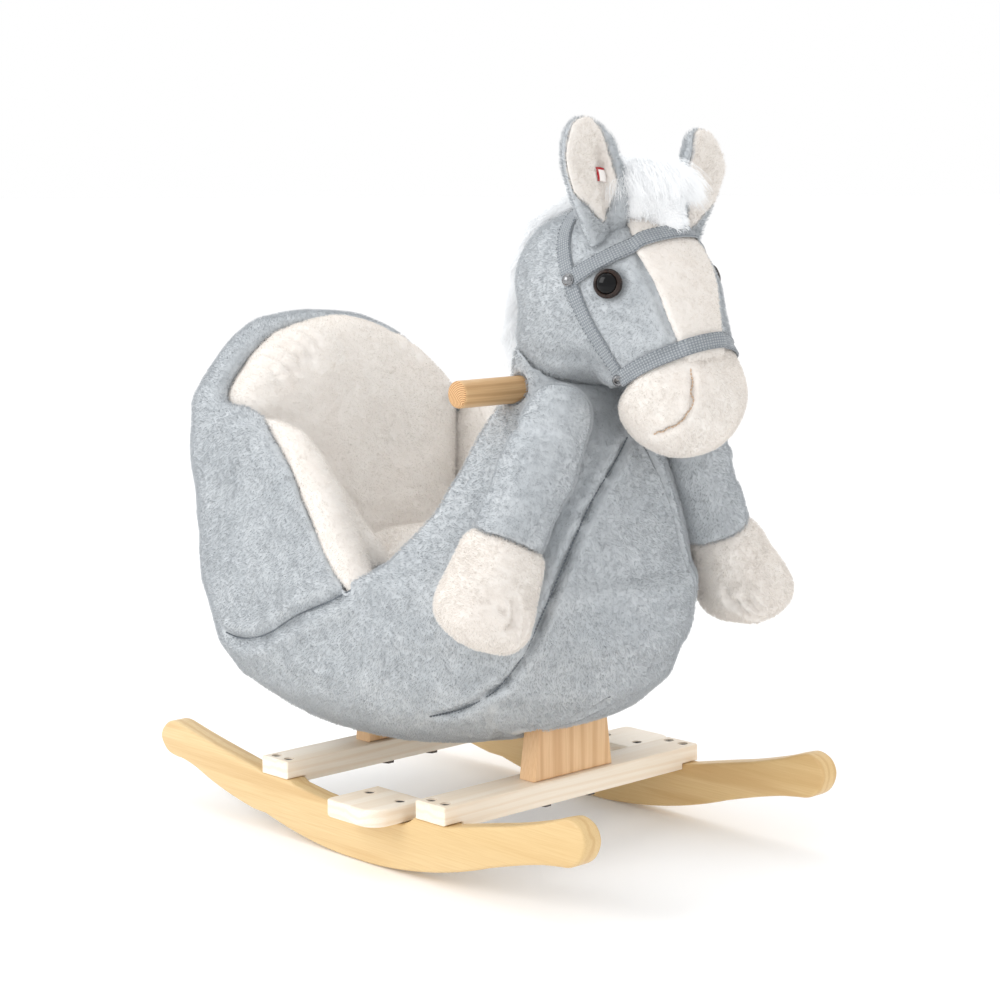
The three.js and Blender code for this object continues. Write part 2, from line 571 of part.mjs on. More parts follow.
// Sound unit behind the lining of the right ear: a case with a push button
{
  let unit = earPart([[-10, 25], [10, 25], [10, 47], [-10, 47]], -6, -0.6, "right");
  unit = unit.subtract(earPart(circlePts(0, 36, 6.4), -4.2, 3, "right"));
  put("sound_unit", unit, PLASTIC);
  put("sound_button", earPart(circlePts(0, 36, 6), -2.4, 1.6, "right"), PLASTIC);
  put("ear_label", earPart([[-6, 30], [5, 31], [5, 42], [-6, 41]], 6.9, 7.7, "right"), LABEL);
}
function circlePts(a, b, r, n = 16) {
  const p = [];
  for (let i = 0; i < n; i++) { const t = (i / n) * 2 * Math.PI; p.push([a + r * Math.cos(t), b + r * Math.sin(t)]); }
  return p;
}

// Eyes: domed buttons with a stem pressed into the head
for (const [side, s] of [["right", -1], ["left", 1]]) {
  const c = [211, s * 59.5, 478], n = v3([0.42, s * 0.9, 0.12]).normalize();
  const lathe = (rows) => {
    const g = new THREE.LatheGeometry(rows.map(([a, b]) => new THREE.Vector2(a, b)), 16);
    g.applyQuaternion(new THREE.Quaternion().setFromUnitVectors(new THREE.Vector3(0, 1, 0), n));
    return solid(g.translate(...c));
  };
  const eye = lathe([[0, -16], [2.2, -16], [2.2, -2.6], [11.6, -2.6], [12.2, -1], [11.4, 2], [9.5, 4.4], [6.5, 6.3], [3.2, 7.2], [0, 7.5]]);
  head = head.subtract(lathe([[0, -16.5], [2.7, -16.5], [2.7, -3.1], [12.8, -3.1], [12.8, 9], [0, 9]]));
  put("eye_" + side, eye, EYE);
}

// ---------------------------------------------------------------- bridle webbing
// A flat strap that follows points on the head: each point has its outward direction.
function strap(points, width, t, lift) {
  const centre = [162, 0, 462];
  const P = new THREE.CatmullRomCurve3(points.map((p) => v3(p)), false, "centripetal").getPoints(15);
  const rings = [];
  for (let i = 0; i < P.length; i++) {
    const T = (P[Math.min(i + 1, P.length - 1)].clone().sub(P[Math.max(i - 1, 0)])).normalize();
    const radial = P[i].clone().sub(v3(centre));
    let N = radial.sub(T.clone().multiplyScalar(radial.dot(T))).normalize();
    const B = new THREE.Vector3().crossVectors(T, N);
    const c = P[i].clone().add(N.clone().multiplyScalar(lift));
    rings.push([[-1, -1], [1, -1], [1, 1], [-1, 1]].map(([a, b]) => {
      const q = c.clone().add(B.clone().multiplyScalar((a * width) / 2)).add(N.clone().multiplyScalar((b * t) / 2));
      return [q.x, q.y, q.z];
    }));
  }
  return loft(rings);
}
// Points on the head's surface, found by walking out from inside
const headHull = ellipsoid([162, 0, 470], [92, 68, 70], 22, 0.12).add(ellipsoid([200, 0, 448], [60, 59, 62], 18, 0.3)).add(ellipsoid([219, 0, 420], [52, 52.5, 54], 16)).add(ellipsoid([132, 0, 432], [58, 60, 46], 16));
const hullGeo = shape(headHull);
const hullMesh = new THREE.Mesh(hullGeo, new THREE.MeshBasicMaterial({ side: THREE.DoubleSide }));
hullMesh.updateMatrixWorld(true);
function onHead(dir, from = [162, 0, 462]) {
  const r = new THREE.Raycaster(v3(from), v3(dir).normalize(), 0, 300);
  const hits = r.intersectObject(hullMesh);
  const p = hits[hits.length - 1].point;
  return [p.x, p.y, p.z];
}
const toward = (p) => onHead([p[0] - 162, p[1], p[2] - 462]);
const RIVET_UP = [176, 66, 480], RIVET_LOW = [214, 50, 404];
const mirrorY = (p) => [p[0], -p[1], p[2]];
const browHalf = [[176, -66, 480], [192, -60, 490], [208, -48, 500], [219, -30, 508], [226, -12, 512]].map(toward);
const brow = [...browHalf, ...browHalf.map(mirrorY).reverse()];
const noseHalf = [[214, -50, 404], [226, -46, 411], [240, -36, 420], [252, -20, 428], [257, -6, 431]].map(toward);
const nose = [...noseHalf, ...noseHalf.map(mirrorY).reverse()];
const stallHalf = [[212, -50, 408], [200, -59, 428], [188, -65, 452], [176, -67, 480], [164, -62, 502], [152, -46, 524], [146, -22, 537]].map(toward);
const stall = [...stallHalf, ...stallHalf.map(mirrorY).reverse()];
const strapSolids = {
  browband: strap(brow, 16, 1.4, 4.6),
  noseband: strap(nose, 14, 1.4, 4.6),
  headstall: strap(stall, 14, 1.4, 2.6),
};
const rivetRoom = [];
for (const [side, s] of [["right", -1], ["left", 1]])
  for (const [nm, p] of [["upper", RIVET_UP], ["lower", RIVET_LOW]]) {
    const q = v3(toward([p[0], s * p[1], p[2]])), n = q.clone().sub(v3([162, 0, 462])).normalize();
    const at = (k) => q.clone().add(n.clone().multiplyScalar(k)).toArray();
    put(`rivet_${nm}_${side}`, cylinderBetween(at(6.6), at(8.8), 4.4, 12, 3).add(cylinderBetween(at(-9), at(7), 1.5, 8)), STEEL);
    rivetRoom.push(cylinderBetween(at(-9.5), at(12), 2, 8).add(cylinderBetween(at(6.25), at(12), 4.9, 12)));
  }

for (const [n, s] of Object.entries(strapSolids)) {
  let b = s;
  for (const r of rivetRoom) b = b.subtract(r);
  put(n, biggest(b), WEBBING);
}

// ---------------------------------------------------------------- long-pile pieces
// Mane: a fur strip from the poll down the back of the neck
const maneCurve = new THREE.CatmullRomCurve3([[150, 545], [122, 541], [96, 527], [78, 503], [67, 472], [62, 444], [68, 416]].map(([x, z]) => new THREE.Vector3(x, 0, z)));
const mane = (() => {
  const P = maneCurve.getPoints(12), rings = [];
  P.forEach((p, i) => {
    const T = maneCurve.getTangent(i / 12), N = new THREE.Vector3(T.z, 0, -T.x).multiplyScalar(-1);
    const k = Math.sin(Math.PI * Math.min(1, Math.max(0, (i + 0.8) / 13.6))) ** 0.4, ring = [];
    for (let j = 0; j < 12; j++) {
      const t = (j / 12) * 2 * Math.PI;
      const q = p.clone().add(new THREE.Vector3(0, 21 * k * Math.cos(t), 0)).add(N.clone().multiplyScalar(11 * k * Math.sin(t)));
      ring.push([q.x, q.y, q.z]);
    }
    rings.push(ring);
  });
  return loft(rings);
})();
const forelock = ellipsoid([196, 0, 541], [30, 33, 27], 16, 0.5);
let maneCut = mane.subtract(headHull).subtract(strapSolids.headstall);
head = head.subtract(mane).subtract(forelock);
// Everything that goes into the head gets room
head = head.subtract(postForm(GAP));
for (const r of legRoom) head = head.subtract(r);
const grownStraps = { b: strap(brow, 17, 2.4, 4.6), n: strap(nose, 15, 2.4, 4.6), h: strap(stall, 15, 2.4, 2.6) };
const headOuter = head.subtract(grownStraps.b).subtract(grownStraps.n).subtract(grownStraps.h);
head = headOuter;
for (const r of rivetRoom) head = head.subtract(r);
head = biggest(head);
let maneSolid = mane.subtract(ellipsoid([162, 0, 470], [92.6, 68.6, 70.6], 22, 0.12)).subtract(ellipsoid([132, 0, 432], [58.6, 60.6, 46.6], 16)).subtract(grownStraps.h).subtract(forelock);
put("head", head, GREY);
let blazeSolid = blaze.subtract(grownStraps.b).subtract(grownStraps.n).subtract(ellipsoid([196, 0, 541], [30.8, 33.8, 27.8], 16, 0.5));
put("blaze", biggest(blazeSolid), CREAM);
put("muzzle", biggest(muzzle.subtract(grownStraps.n)), CREAM);
let foreSolid = forelock.subtract(grownStraps.b).subtract(ellipsoid([162, 0, 470], [92.6, 68.6, 70.6], 22, 0.12));
for (const side of ["right", "left"]) foreSolid = foreSolid.subtract(earPart(leaf(1, 0.6), -9.6, 7.2, side));
put("forelock", biggest(foreSolid), WHITE);
const maneBig = biggest(maneSolid);
put("mane", maneBig, WHITE);
// Tail: a tuft on the back of the seat
const tail = (() => {
  const c = new THREE.CatmullRomCurve3([[-262, 318], [-275, 312], [-281, 290], [-280, 262], [-275, 232], [-270, 206]].map(([x, z]) => new THREE.Vector3(x, 0, z)));
  const P = c.getPoints(10);
  const rings = P.map((p, i) => {
    const t = i / 10, r = 5 + 13 * Math.sin(Math.PI * Math.min(1, t * 0.92 + 0.04)) ** 0.7, ring = [];
    const T = c.getTangent(t), N = new THREE.Vector3(-T.z, 0, T.x);
    for (let j = 0; j < 10; j++) {
      const a = (j / 10) * 2 * Math.PI;
      const q = p.clone().add(new THREE.Vector3(0, r * 1.15 * Math.cos(a), 0)).add(N.clone().multiplyScalar(r * 0.8 * Math.sin(a)));
      ring.push([q.x, q.y, q.z]);
    }
    return ring;
  });
  return loft(rings);
})();

// ---------------------------------------------------------------- body cover, cut for all it holds
let body = lower.add(backPart).add(wings).add(front);
const hollowCut = hollowLoft.subtract(slabXZ([[300, 100], [300, 700], [88, 700], [80, 404], [74, 330], [60, 290], [30, 240], [10, 220], [10, 100]], -300, 300));
body = body.subtract(hollowCut);
const backPadG = backPad(GAP), cushionG = cushion(GAP);
const wingR = wingPadBody(0), wingRG = wingPadBody(GAP);
const mirrorSolid = (s) => s.mirror([0, 1, 0]);
// the pads stop at the rim, a little proud of it
const padTop = rimCut(7);
const notchFront = slabXZ([[26, 0], [300, 0], [300, 700], [26, 700]], -300, 300);
let wingPad = wingR.subtract(padTop).subtract(backPadG).subtract(cushionG).subtract(notchFront);
wingPad = biggest(wingPad);
const wingRoom = wingRG.subtract(rimCut(60));
body = body.subtract(backPadG).subtract(cushionG).subtract(wingRoom).subtract(mirrorSolid(wingRoom));
// The belly is a thick quilted skin round a hollow that opens below, where the risers go in
const BELLY_WALL = 19,
  BELLY_FRONT = 12;
const bellyHollow = planLoft(LOWER, [100, 122, 147, 186], 28, -BELLY_WALL).intersect(box(-400, BELLY_FRONT, -300, 300, 60, 300));
body = body.subtract(bellyHollow);
// and the back has a hollow behind its board, which runs down into the belly
const backHollow = loft([[176, -236, -190, 108], [250, -243, -203, 112], [330, -249, -222, 104], [372, -250, -232, 84]].map(([z, x0, x1, w]) => [[x0, -w, z], [x1, -w, z], [x1, w, z], [x0, w, z]]));
body = body.subtract(backHollow);
body = body.subtract(seatBoardGrown).subtract(backBoard(GAP)).subtract(postForm(GAP)).subtract(dowelForm(GAP, 160)).subtract(pinForm(GAP));
for (const k of ["front", "rear"]) body = body.subtract(riserForm(...RISERS[k], GAP)).subtract(box(RISERS[k][0] - GAP, RISERS[k][1] + GAP, -30, 30, 60, SEAT_BOARD_Z));
for (const r of legRoom) body = body.subtract(r);
for (const r of hoofRoom) body = body.subtract(r);
body = body.subtract(headHull.intersect(box(0, 400, -150, 150, 403.9, 700))).subtract(ellipsoid([233, 0, 392], [52, 53, 50.5], 22, 0.4)).subtract(mane.intersect(box(0, 300, -60, 60, 300, 700)));
body = body.subtract(cylinderBetween([-300, 0, 318], [-261.5, 0, 318], 12, 14));
body = biggest(body);
put("body_cover", body, GREY);
put("tail", biggest(tail.subtract(planLoft(REAR, [200, 260, 320, 365, 400], SEG, 0.4))), WHITE);
let bp = backPad(0);
put("backrest_pad", biggest(bp), CREAM);
put("seat_cushion", biggest(cushion(0).subtract(backPad(GAP))), CREAM);
put("wing_pad_right", wingPad, CREAM);
put("wing_pad_left", mirrorSolid(wingPad), CREAM);

const horse = new THREE.Group();
for (const m of nodes) horse.add(m);
horse.position.x = SHIFT_X;
export default horse;
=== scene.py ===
import bpy, bmesh, math
import numpy as np
import openvdb
from mathutils import Vector, Matrix
from mathutils.bvhtree import BVHTree


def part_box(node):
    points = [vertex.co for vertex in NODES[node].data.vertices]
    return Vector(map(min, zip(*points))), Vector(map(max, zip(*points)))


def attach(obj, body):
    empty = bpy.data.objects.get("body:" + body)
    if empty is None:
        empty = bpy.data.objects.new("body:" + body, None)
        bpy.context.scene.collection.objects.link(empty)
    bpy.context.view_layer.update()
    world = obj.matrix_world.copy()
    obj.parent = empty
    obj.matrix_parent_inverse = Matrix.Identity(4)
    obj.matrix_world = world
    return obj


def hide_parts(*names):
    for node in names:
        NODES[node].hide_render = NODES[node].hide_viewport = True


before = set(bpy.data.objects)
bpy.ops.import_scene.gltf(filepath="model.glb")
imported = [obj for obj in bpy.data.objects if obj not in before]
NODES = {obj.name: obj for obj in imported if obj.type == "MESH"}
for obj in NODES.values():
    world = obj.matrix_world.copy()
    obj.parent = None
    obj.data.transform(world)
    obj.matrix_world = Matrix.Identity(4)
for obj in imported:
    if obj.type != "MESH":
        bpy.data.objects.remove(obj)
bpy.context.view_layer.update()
SX = 5.577
ROOT = "horse"
SCENE = bpy.context.scene


def row(p):
    """Layout millimetres to row metres."""
    p = np.asarray(p, float)
    return (p + np.array([SX, 0, 0])) / 1000.0


# ------------------------------------------------------------------ camera
def place_camera():
    a, e, r = math.radians(46.489), math.radians(8.04), math.radians(-0.188)
    back = Vector((math.sin(a) * math.cos(e), -math.cos(a) * math.cos(e), math.sin(e)))
    right = Vector((math.cos(a), math.sin(a), 0))
    up = back.cross(right)
    r2 = right * math.cos(r) + up * math.sin(r)
    u2 = -right * math.sin(r) + up * math.cos(r)
    cam = bpy.data.cameras.new("camera")
    cam.lens = 82.654
    cam.sensor_width = 36
    cam.sensor_fit = "HORIZONTAL"
    cam.clip_start, cam.clip_end = 0.05, 60
    o = bpy.data.objects.new("camera", cam)
    m = Matrix((r2, u2, back)).transposed().to_4x4()
    m.translation = Vector(row((1427.885, -1328.865, 559.874)))
    o.matrix_world = m
    SCENE.collection.objects.link(o)
    SCENE.camera = o
    return o


place_camera()


# ------------------------------------------------------------------ node material helpers
def mat_new(name):
    m = bpy.data.materials.new(name)
    m.use_nodes = True
    nt = m.node_tree
    nt.nodes.clear()
    out = nt.nodes.new("ShaderNodeOutputMaterial")
    b = nt.nodes.new("ShaderNodeBsdfPrincipled")
    nt.links.new(b.outputs["BSDF"], out.inputs["Surface"])
    return m, nt, b


def lin(c):
    return tuple(((x / 255.0) / 12.92 if x / 255.0 <= 0.04045 else ((x / 255.0 + 0.055) / 1.055) ** 2.4) for x in c) + (1.0,)


class N:
    """Small builder for node chains."""

    def __init__(s, nt):
        s.nt = nt

    def new(s, kind, **kw):
        n = s.nt.nodes.new(kind)
        for k, v in kw.items():
            setattr(n, k, v)
        return n

    def link(s, a, b):
        s.nt.links.new(a, b)

    def coords(s, scale=(1, 1, 1), rot=(0, 0, 0)):
        t = s.new("ShaderNodeTexCoord")
        m = s.new("ShaderNodeMapping")
        m.inputs["Scale"].default_value = scale
        m.inputs["Rotation"].default_value = rot
        s.link(t.outputs["Object"], m.inputs["Vector"])
        return m.outputs["Vector"]

    def noise(s, vec, scale, detail=3, rough=0.5, dist=0.0):
        n = s.new("ShaderNodeTexNoise")
        n.inputs["Scale"].default_value = scale
        n.inputs["Detail"].default_value = detail
        n.inputs["Roughness"].default_value = rough
        n.inputs["Distortion"].default_value = dist
        s.link(vec, n.inputs["Vector"])
        return n.outputs["Fac"]

    def ramp(s, fac, stops):
        r = s.new("ShaderNodeValToRGB")
        el = r.color_ramp.elements
        while len(el) < len(stops):
            el.new(0.5)
        for e, (p, c) in zip(el, stops):
            e.position = p
            e.color = c
        s.link(fac, r.inputs["Fac"])
        return r.outputs["Color"]

    def mix(s, a, b, fac, mode="MIX"):
        m = s.new("ShaderNodeMix", data_type="RGBA", blend_type=mode)
        for v, i in ((fac, 0), (a, 6), (b, 7)):
            if hasattr(v, "is_linked") or hasattr(v, "links"):
                s.link(v, m.inputs[i])
            else:
                m.inputs[i].default_value = v
        return m.outputs[2]

    def math(s, op, a, b=0.0):
        m = s.new("ShaderNodeMath", operation=op)
        for v, i in ((a, 0), (b, 1)):
            if hasattr(v, "links"):
                s.link(v, m.inputs[i])
            else:
                m.inputs[i].default_value = v
        return m.outputs[0]

    def bump(s, h, strength, dist, normal=None):
        b = s.new("ShaderNodeBump")
        b.inputs["Strength"].default_value = strength
        b.inputs["Distance"].default_value = dist
        s.link(h, b.inputs["Height"])
        if normal is not None:
            s.link(normal, b.inputs["Normal"])
        return b.outputs["Normal"]


def plush_material(name, base, dark, light, grain=1.0):
    """Short plush: dark nap streaks (the pile's own tone, deepened as painted shade where the pile parts), fine pile
    specks and soft sheen.
    """
    m, nt, b = mat_new(name)
    n = N(nt)
    v = n.coords()
    big = n.noise(v, 22, 3, 0.55, 0.6)
    vs = n.coords((1, 1, 0.42))
    streak = n.noise(vs, 260, 4, 0.62, 0.8)
    fine = n.noise(v, 900, 3, 0.7)
    c1 = n.ramp(big, [(0.32, lin(base)), (0.72, lin(light))])
    # the dark streaks are partly the plush's own tone and partly painted shade in the hollows where the pile parts
    c2 = n.mix(c1, lin(dark), n.ramp(streak, [(0.28, (0.55 * grain, 0.55 * grain, 0.55 * grain, 1)), (0.5, (0, 0, 0, 1))]))
    c3 = n.mix(c2, lin(light), n.ramp(fine, [(0.55, (0, 0, 0, 1)), (0.8, (0.5, 0.5, 0.5, 1))]))
    n.link(c3, b.inputs["Base Color"])
    b.inputs["Roughness"].default_value = 0.93
    b.inputs["Specular IOR Level"].default_value = 0.12
    b.inputs["Sheen Weight"].default_value = 0.35
    b.inputs["Sheen Roughness"].default_value = 0.45
    b.inputs["Sheen Tint"].default_value = lin(light)
    h1 = n.bump(streak, 0.34 * grain, 0.0014)
    h2 = n.bump(fine, 0.5, 0.0006, h1)
    n.link(h2, b.inputs["Normal"])
    return m


def hair_material(name, root, tip, rough=0.75):
    m, nt, b = mat_new(name)
    n = N(nt)
    hi = n.new("ShaderNodeHairInfo")
    v = n.coords()
    patch = n.noise(v, 60, 3, 0.6)
    c = n.mix(lin(root), lin(tip), hi.outputs["Intercept"])
    r = n.ramp(hi.outputs["Random"], [(0.0, (0.93, 0.93, 0.93, 1)), (1.0, (1.04, 1.04, 1.04, 1))])
    c2 = n.mix(c, r, 1.0, "MULTIPLY")
    p = n.ramp(patch, [(0.35, (0.97, 0.97, 0.97, 1)), (0.65, (1.02, 1.02, 1.02, 1))])
    c3 = n.mix(c2, p, 1.0, "MULTIPLY")
    n.link(c3, b.inputs["Base Color"])
    b.inputs["Roughness"].default_value = rough
    b.inputs["Specular IOR Level"].default_value = 0.25
    return m


def wood_material(name, light, mid, dark, axis=0, scale=1.0, ring=55.0, contrast=1.0, end=None):
    """Planed boards: long grain along one axis, with growth rings, pores and a thin clear coat."""
    m, nt, b = mat_new(name)
    n = N(nt)
    st = [1.0, 1.0, 1.0]
    st[axis] = 0.06
    v = n.coords(tuple(st))
    st2 = [1.0, 1.0, 1.0]
    st2[axis] = 0.02
    v2 = n.coords(tuple(st2))
    warp = n.noise(v, 9 * scale, 3, 0.5, 0.4)
    w = n.new("ShaderNodeTexWave", wave_type="BANDS", bands_direction=["Y", "Z", "Y"][axis], wave_profile="SIN")
    w.inputs["Scale"].default_value = ring * scale
    w.inputs["Distortion"].default_value = 9.0
    w.inputs["Detail"].default_value = 3.0
    w.inputs["Detail Scale"].default_value = 0.9
    n.link(v, w.inputs["Vector"])
    fibre = n.noise(v2, 900 * scale, 4, 0.65)
    pore = n.noise(v2, 2600 * scale, 2, 0.5)
    base = n.ramp(warp, [(0.3, lin(light)), (0.7, lin(mid))])
    ringc = n.ramp(w.outputs["Fac"], [(0.45, (0, 0, 0, 1)), (0.95, (0.5 * contrast,) * 3 + (1,))])
    c = n.mix(base, lin(dark), ringc)
    fc = n.ramp(fibre, [(0.35, (0.32 * contrast,) * 3 + (1,)), (0.6, (0, 0, 0, 1))])
    c = n.mix(c, lin(dark), fc)
    pc = n.ramp(pore, [(0.22, (0.35,) * 3 + (1,)), (0.34, (0, 0, 0, 1))])
    c = n.mix(c, lin(dark), pc)
    n.link(c, b.inputs["Base Color"])
    rr = n.ramp(fibre, [(0.3, (0.5,) * 3 + (1,)), (0.7, (0.38,) * 3 + (1,))])
    n.link(rr, b.inputs["Roughness"])
    b.inputs["Coat Weight"].default_value = 0.12
    b.inputs["Coat Roughness"].default_value = 0.35
    n.link(n.bump(fibre, 0.12, 0.0004), b.inputs["Normal"])
    return m


def end_grain_material(name, light, dark):
    m, nt, b = mat_new(name)
    n = N(nt)
    v = n.coords()
    w = n.new("ShaderNodeTexWave", wave_type="RINGS", rings_direction="Y")
    w.inputs["Scale"].default_value = 190
    w.inputs["Distortion"].default_value = 1.4
    w.inputs["Detail"].default_value = 2
    mp = n.new("ShaderNodeMapping")
    mp.inputs["Location"].default_value = (-0.118, 0, -0.383)
    n.link(v, mp.inputs["Vector"])
    n.link(mp.outputs["Vector"], w.inputs["Vector"])
    f = n.noise(v, 1400, 3, 0.6)
    c = n.ramp(w.outputs["Fac"], [(0.35, lin(light)), (0.9, lin(dark))])
    c = n.mix(c, lin(dark), n.ramp(f, [(0.3, (0.6,) * 3 + (1,)), (0.5, (0, 0, 0, 1))]))
    n.link(c, b.inputs["Base Color"])
    b.inputs["Roughness"].default_value = 0.6
    n.link(n.bump(f, 0.2, 0.0004), b.inputs["Normal"])
    return m


def metal_material(name, colour, rough):
    m, nt, b = mat_new(name)
    n = N(nt)
    v = n.coords()
    f = n.noise(v, 700, 3, 0.6)
    n.link(n.ramp(f, [(0.35, lin([c * 0.86 for c in colour])), (0.7, lin(colour))]), b.inputs["Base Color"])
    b.inputs["Metallic"].default_value = 1.0
    n.link(n.ramp(f, [(0.3, (rough * 0.8,) * 3 + (1,)), (0.7, (rough * 1.3,) * 3 + (1,))]), b.inputs["Roughness"])
    n.link(n.bump(f, 0.08, 0.0002), b.inputs["Normal"])
    return m


def webbing_material(name):
    """Ribbed webbing: ribs are in the mesh; the yarn and its twill come from here."""
    m, nt, b = mat_new(name)
    n = N(nt)
    v = n.coords()
    f = n.noise(v, 1500, 3, 0.6)
    g = n.noise(v, 90, 3, 0.5)
    uv = n.new("ShaderNodeUVMap", uv_map="along")
    w1 = n.new("ShaderNodeTexWave", wave_type="BANDS", bands_direction="X")
    w1.inputs["Scale"].default_value = 0.3
    n.link(uv.outputs["UV"], w1.inputs["Vector"])
    w2 = n.new("ShaderNodeTexWave", wave_type="BANDS", bands_direction="Y")
    w2.inputs["Scale"].default_value = 0.36
    n.link(uv.outputs["UV"], w2.inputs["Vector"])
    weave = n.math("MULTIPLY", w1.outputs["Fac"], w2.outputs["Fac"])
    c = n.ramp(weave, [(0.0, lin((128, 134, 140))), (0.7, lin((176, 181, 185)))])
    c = n.mix(c, lin((205, 208, 210)), n.ramp(f, [(0.5, (0, 0, 0, 1)), (0.8, (0.35,) * 3 + (1,))]))
    c = n.mix(c, lin((120, 126, 133)), n.ramp(g, [(0.3, (0.25,) * 3 + (1,)), (0.6, (0, 0, 0, 1))]))
    n.link(c, b.inputs["Base Color"])
    b.inputs["Roughness"].default_value = 0.78
    b.inputs["Sheen Weight"].default_value = 0.2
    n.link(n.bump(weave, 0.6, 0.0006), b.inputs["Normal"])
    return m


GREY = plush_material("grey_plush", (190, 195, 199), (168, 174, 179), (208, 212, 215), 0.7)
CREAM = plush_material("cream_plush", (236, 230, 224), (233, 225, 217), (240, 236, 231), 0.25)
WHITE = plush_material("white_fur", (248, 248, 248), (232, 233, 235), (255, 255, 255), 0.6)
GREY_HAIR = hair_material("grey_pile", (168, 173, 177), (208, 211, 214))
CREAM_HAIR = hair_material("cream_pile", (237, 231, 225), (243, 239, 234))
WHITE_HAIR = hair_material("white_pile", (245, 247, 249), (253, 254, 255), 0.5)
# painted glow: the white fur and its long hair give off a little light of their own, standing in for light on their
# shaded sides
WHITE_HAIR.node_tree.nodes["Principled BSDF"].inputs["Emission Color"].default_value = (1, 1, 1, 1)
WHITE_HAIR.node_tree.nodes["Principled BSDF"].inputs["Emission Strength"].default_value = 0.09
WHITE.node_tree.nodes["Principled BSDF"].inputs["Emission Color"].default_value = (1, 1, 1, 1)
WHITE.node_tree.nodes["Principled BSDF"].inputs["Emission Strength"].default_value = 0.05
PINE = wood_material("pine", (232, 206, 158), (222, 190, 134), (196, 152, 94), 0, 1.0, 34, 0.8)
BEECH = wood_material("beech", (254, 245, 231), (250, 237, 218), (232, 206, 172), 1, 1.0, 40, 0.6)
ALDER = wood_material("alder", (241, 206, 162), (230, 186, 138), (196, 144, 92), 2, 1.0, 22, 0.8)
DOWEL = wood_material("dowel", (225, 188, 140), (212, 170, 118), (178, 130, 80), 1, 1.0, 60, 0.9)
END = end_grain_material("end_grain", (226, 186, 136), (170, 118, 70))
PLY = wood_material("plywood", (222, 200, 165), (206, 180, 140), (170, 130, 90), 0, 1.0, 30)
STEEL = metal_material("steel", (108, 104, 102), 0.4)
CHROME = metal_material("rivet_metal", (150, 151, 153), 0.24)
WEB = webbing_material("webbing")


def eye_material():
    m, nt, b = mat_new("eye_gloss")
    n = N(nt)
    v = n.coords()
    f = n.noise(v, 500, 3, 0.6)
    n.link(n.ramp(f, [(0.3, lin((26, 16, 12))), (0.7, lin((48, 31, 23)))]), b.inputs["Base Color"])
    b.inputs["Roughness"].default_value = 0.16
    b.inputs["Specular IOR Level"].default_value = 0.35
    m2, nt2, b2 = mat_new("eye_pupil")
    n2 = N(nt2)
    f2 = n2.noise(n2.coords(), 800, 2, 0.5)
    n2.link(n2.ramp(f2, [(0.3, lin((4, 4, 5))), (0.7, lin((9, 9, 11)))]), b2.inputs["Base Color"])
    b2.inputs["Roughness"].default_value = 0.05
    b2.inputs["Specular IOR Level"].default_value = 0.22
    return m, m2


EYE, PUPIL = eye_material()


def plain_material(name, c1, c2, rough=0.6, scale=800):
    m, nt, b = mat_new(name)
    n = N(nt)
    f = n.noise(n.coords(), scale, 3, 0.6)
    n.link(n.ramp(f, [(0.3, lin(c1)), (0.7, lin(c2))]), b.inputs["Base Color"])
    b.inputs["Roughness"].default_value = rough
    n.link(n.bump(f, 0.3, 0.0003), b.inputs["Normal"])
    return m


PLASTIC = plain_material("plastic", (225, 225, 225), (240, 240, 240), 0.45)
RED = plain_material("label_edge", (150, 20, 30), (190, 35, 45), 0.8, 1500)
TAG = plain_material("label_cloth", (232, 226, 222), (246, 242, 238), 0.85, 1500)
THREAD = plain_material("thread", (118, 126, 134), (150, 157, 163), 0.8, 2000)


# ------------------------------------------------------------------ implicit shapes
class Grid:
    def __init__(s, lo, hi, h):
        s.lo, s.h = np.array(lo, float), float(h)
        n = np.ceil((np.array(hi, float) - s.lo) / h).astype(int) + 1
        s.X = (s.lo[0] + h * np.arange(n[0])).reshape(-1, 1, 1).astype(np.float32)
        s.Y = (s.lo[1] + h * np.arange(n[1])).reshape(1, -1, 1).astype(np.float32)
        s.Z = (s.lo[2] + h * np.arange(n[2])).reshape(1, 1, -1).astype(np.float32)
        s.n = n

    def norm(s, f):
        """Turns a field into a distance near its own surface."""
        f = np.broadcast_to(f, tuple(s.n)).astype(np.float32)
        g = np.gradient(f, s.h)
        m = np.sqrt(g[0] ** 2 + g[1] ** 2 + g[2] ** 2)
        return f / np.maximum(m, 0.25 * float(np.median(m)) + 1e-6)

    def plan(s, rows, d=0.0, cap=True):
        r = np.array(rows, float)
        z = s.Z[0, 0, :]
        xb, xf, xm, w, nb, nf = [np.interp(z, r[:, 0], r[:, i]).reshape(1, 1, -1) for i in range(1, 7)]
        fr = s.X >= xm
        a = np.where(fr, xf - xm, xm - xb) + d
        n = np.where(fr, nf, nb)
        q = (np.abs(s.X - xm) / a) ** n + (np.abs(s.Y) / (w + d)) ** n
        f = s.norm((q ** (1.0 / n) - 1.0) * 100.0)
        if cap:
            f = np.maximum(f, np.maximum(r[0, 0] - d - s.Z, s.Z - r[-1, 0] - d))
        return f

    def ell(s, c, r, pitch=0.0):
        x, y, z = s.X - c[0], s.Y - c[1], s.Z - c[2]
        cs, sn = math.cos(pitch), math.sin(pitch)
        # the form is turned by pitch about Y: look it up in its own axes
        px, pz = x * cs - z * sn, x * sn + z * cs
        k = np.sqrt((px / r[0]) ** 2 + (y / r[1]) ** 2 + (pz / r[2]) ** 2)
        return s.norm((k - 1.0) * min(r))

    def capsule(s, a, b, ra, rb):
        a, b = np.array(a, float), np.array(b, float)
        d = b - a
        L2 = float(d @ d)
        t = ((s.X - a[0]) * d[0] + (s.Y - a[1]) * d[1] + (s.Z - a[2]) * d[2]) / L2
        t = np.clip(t, 0, 1)
        dist = np.sqrt((s.X - a[0] - t * d[0]) ** 2 + (s.Y - a[1] - t * d[1]) ** 2 + (s.Z - a[2] - t * d[2]) ** 2)
        return dist - (ra + (rb - ra) * t)


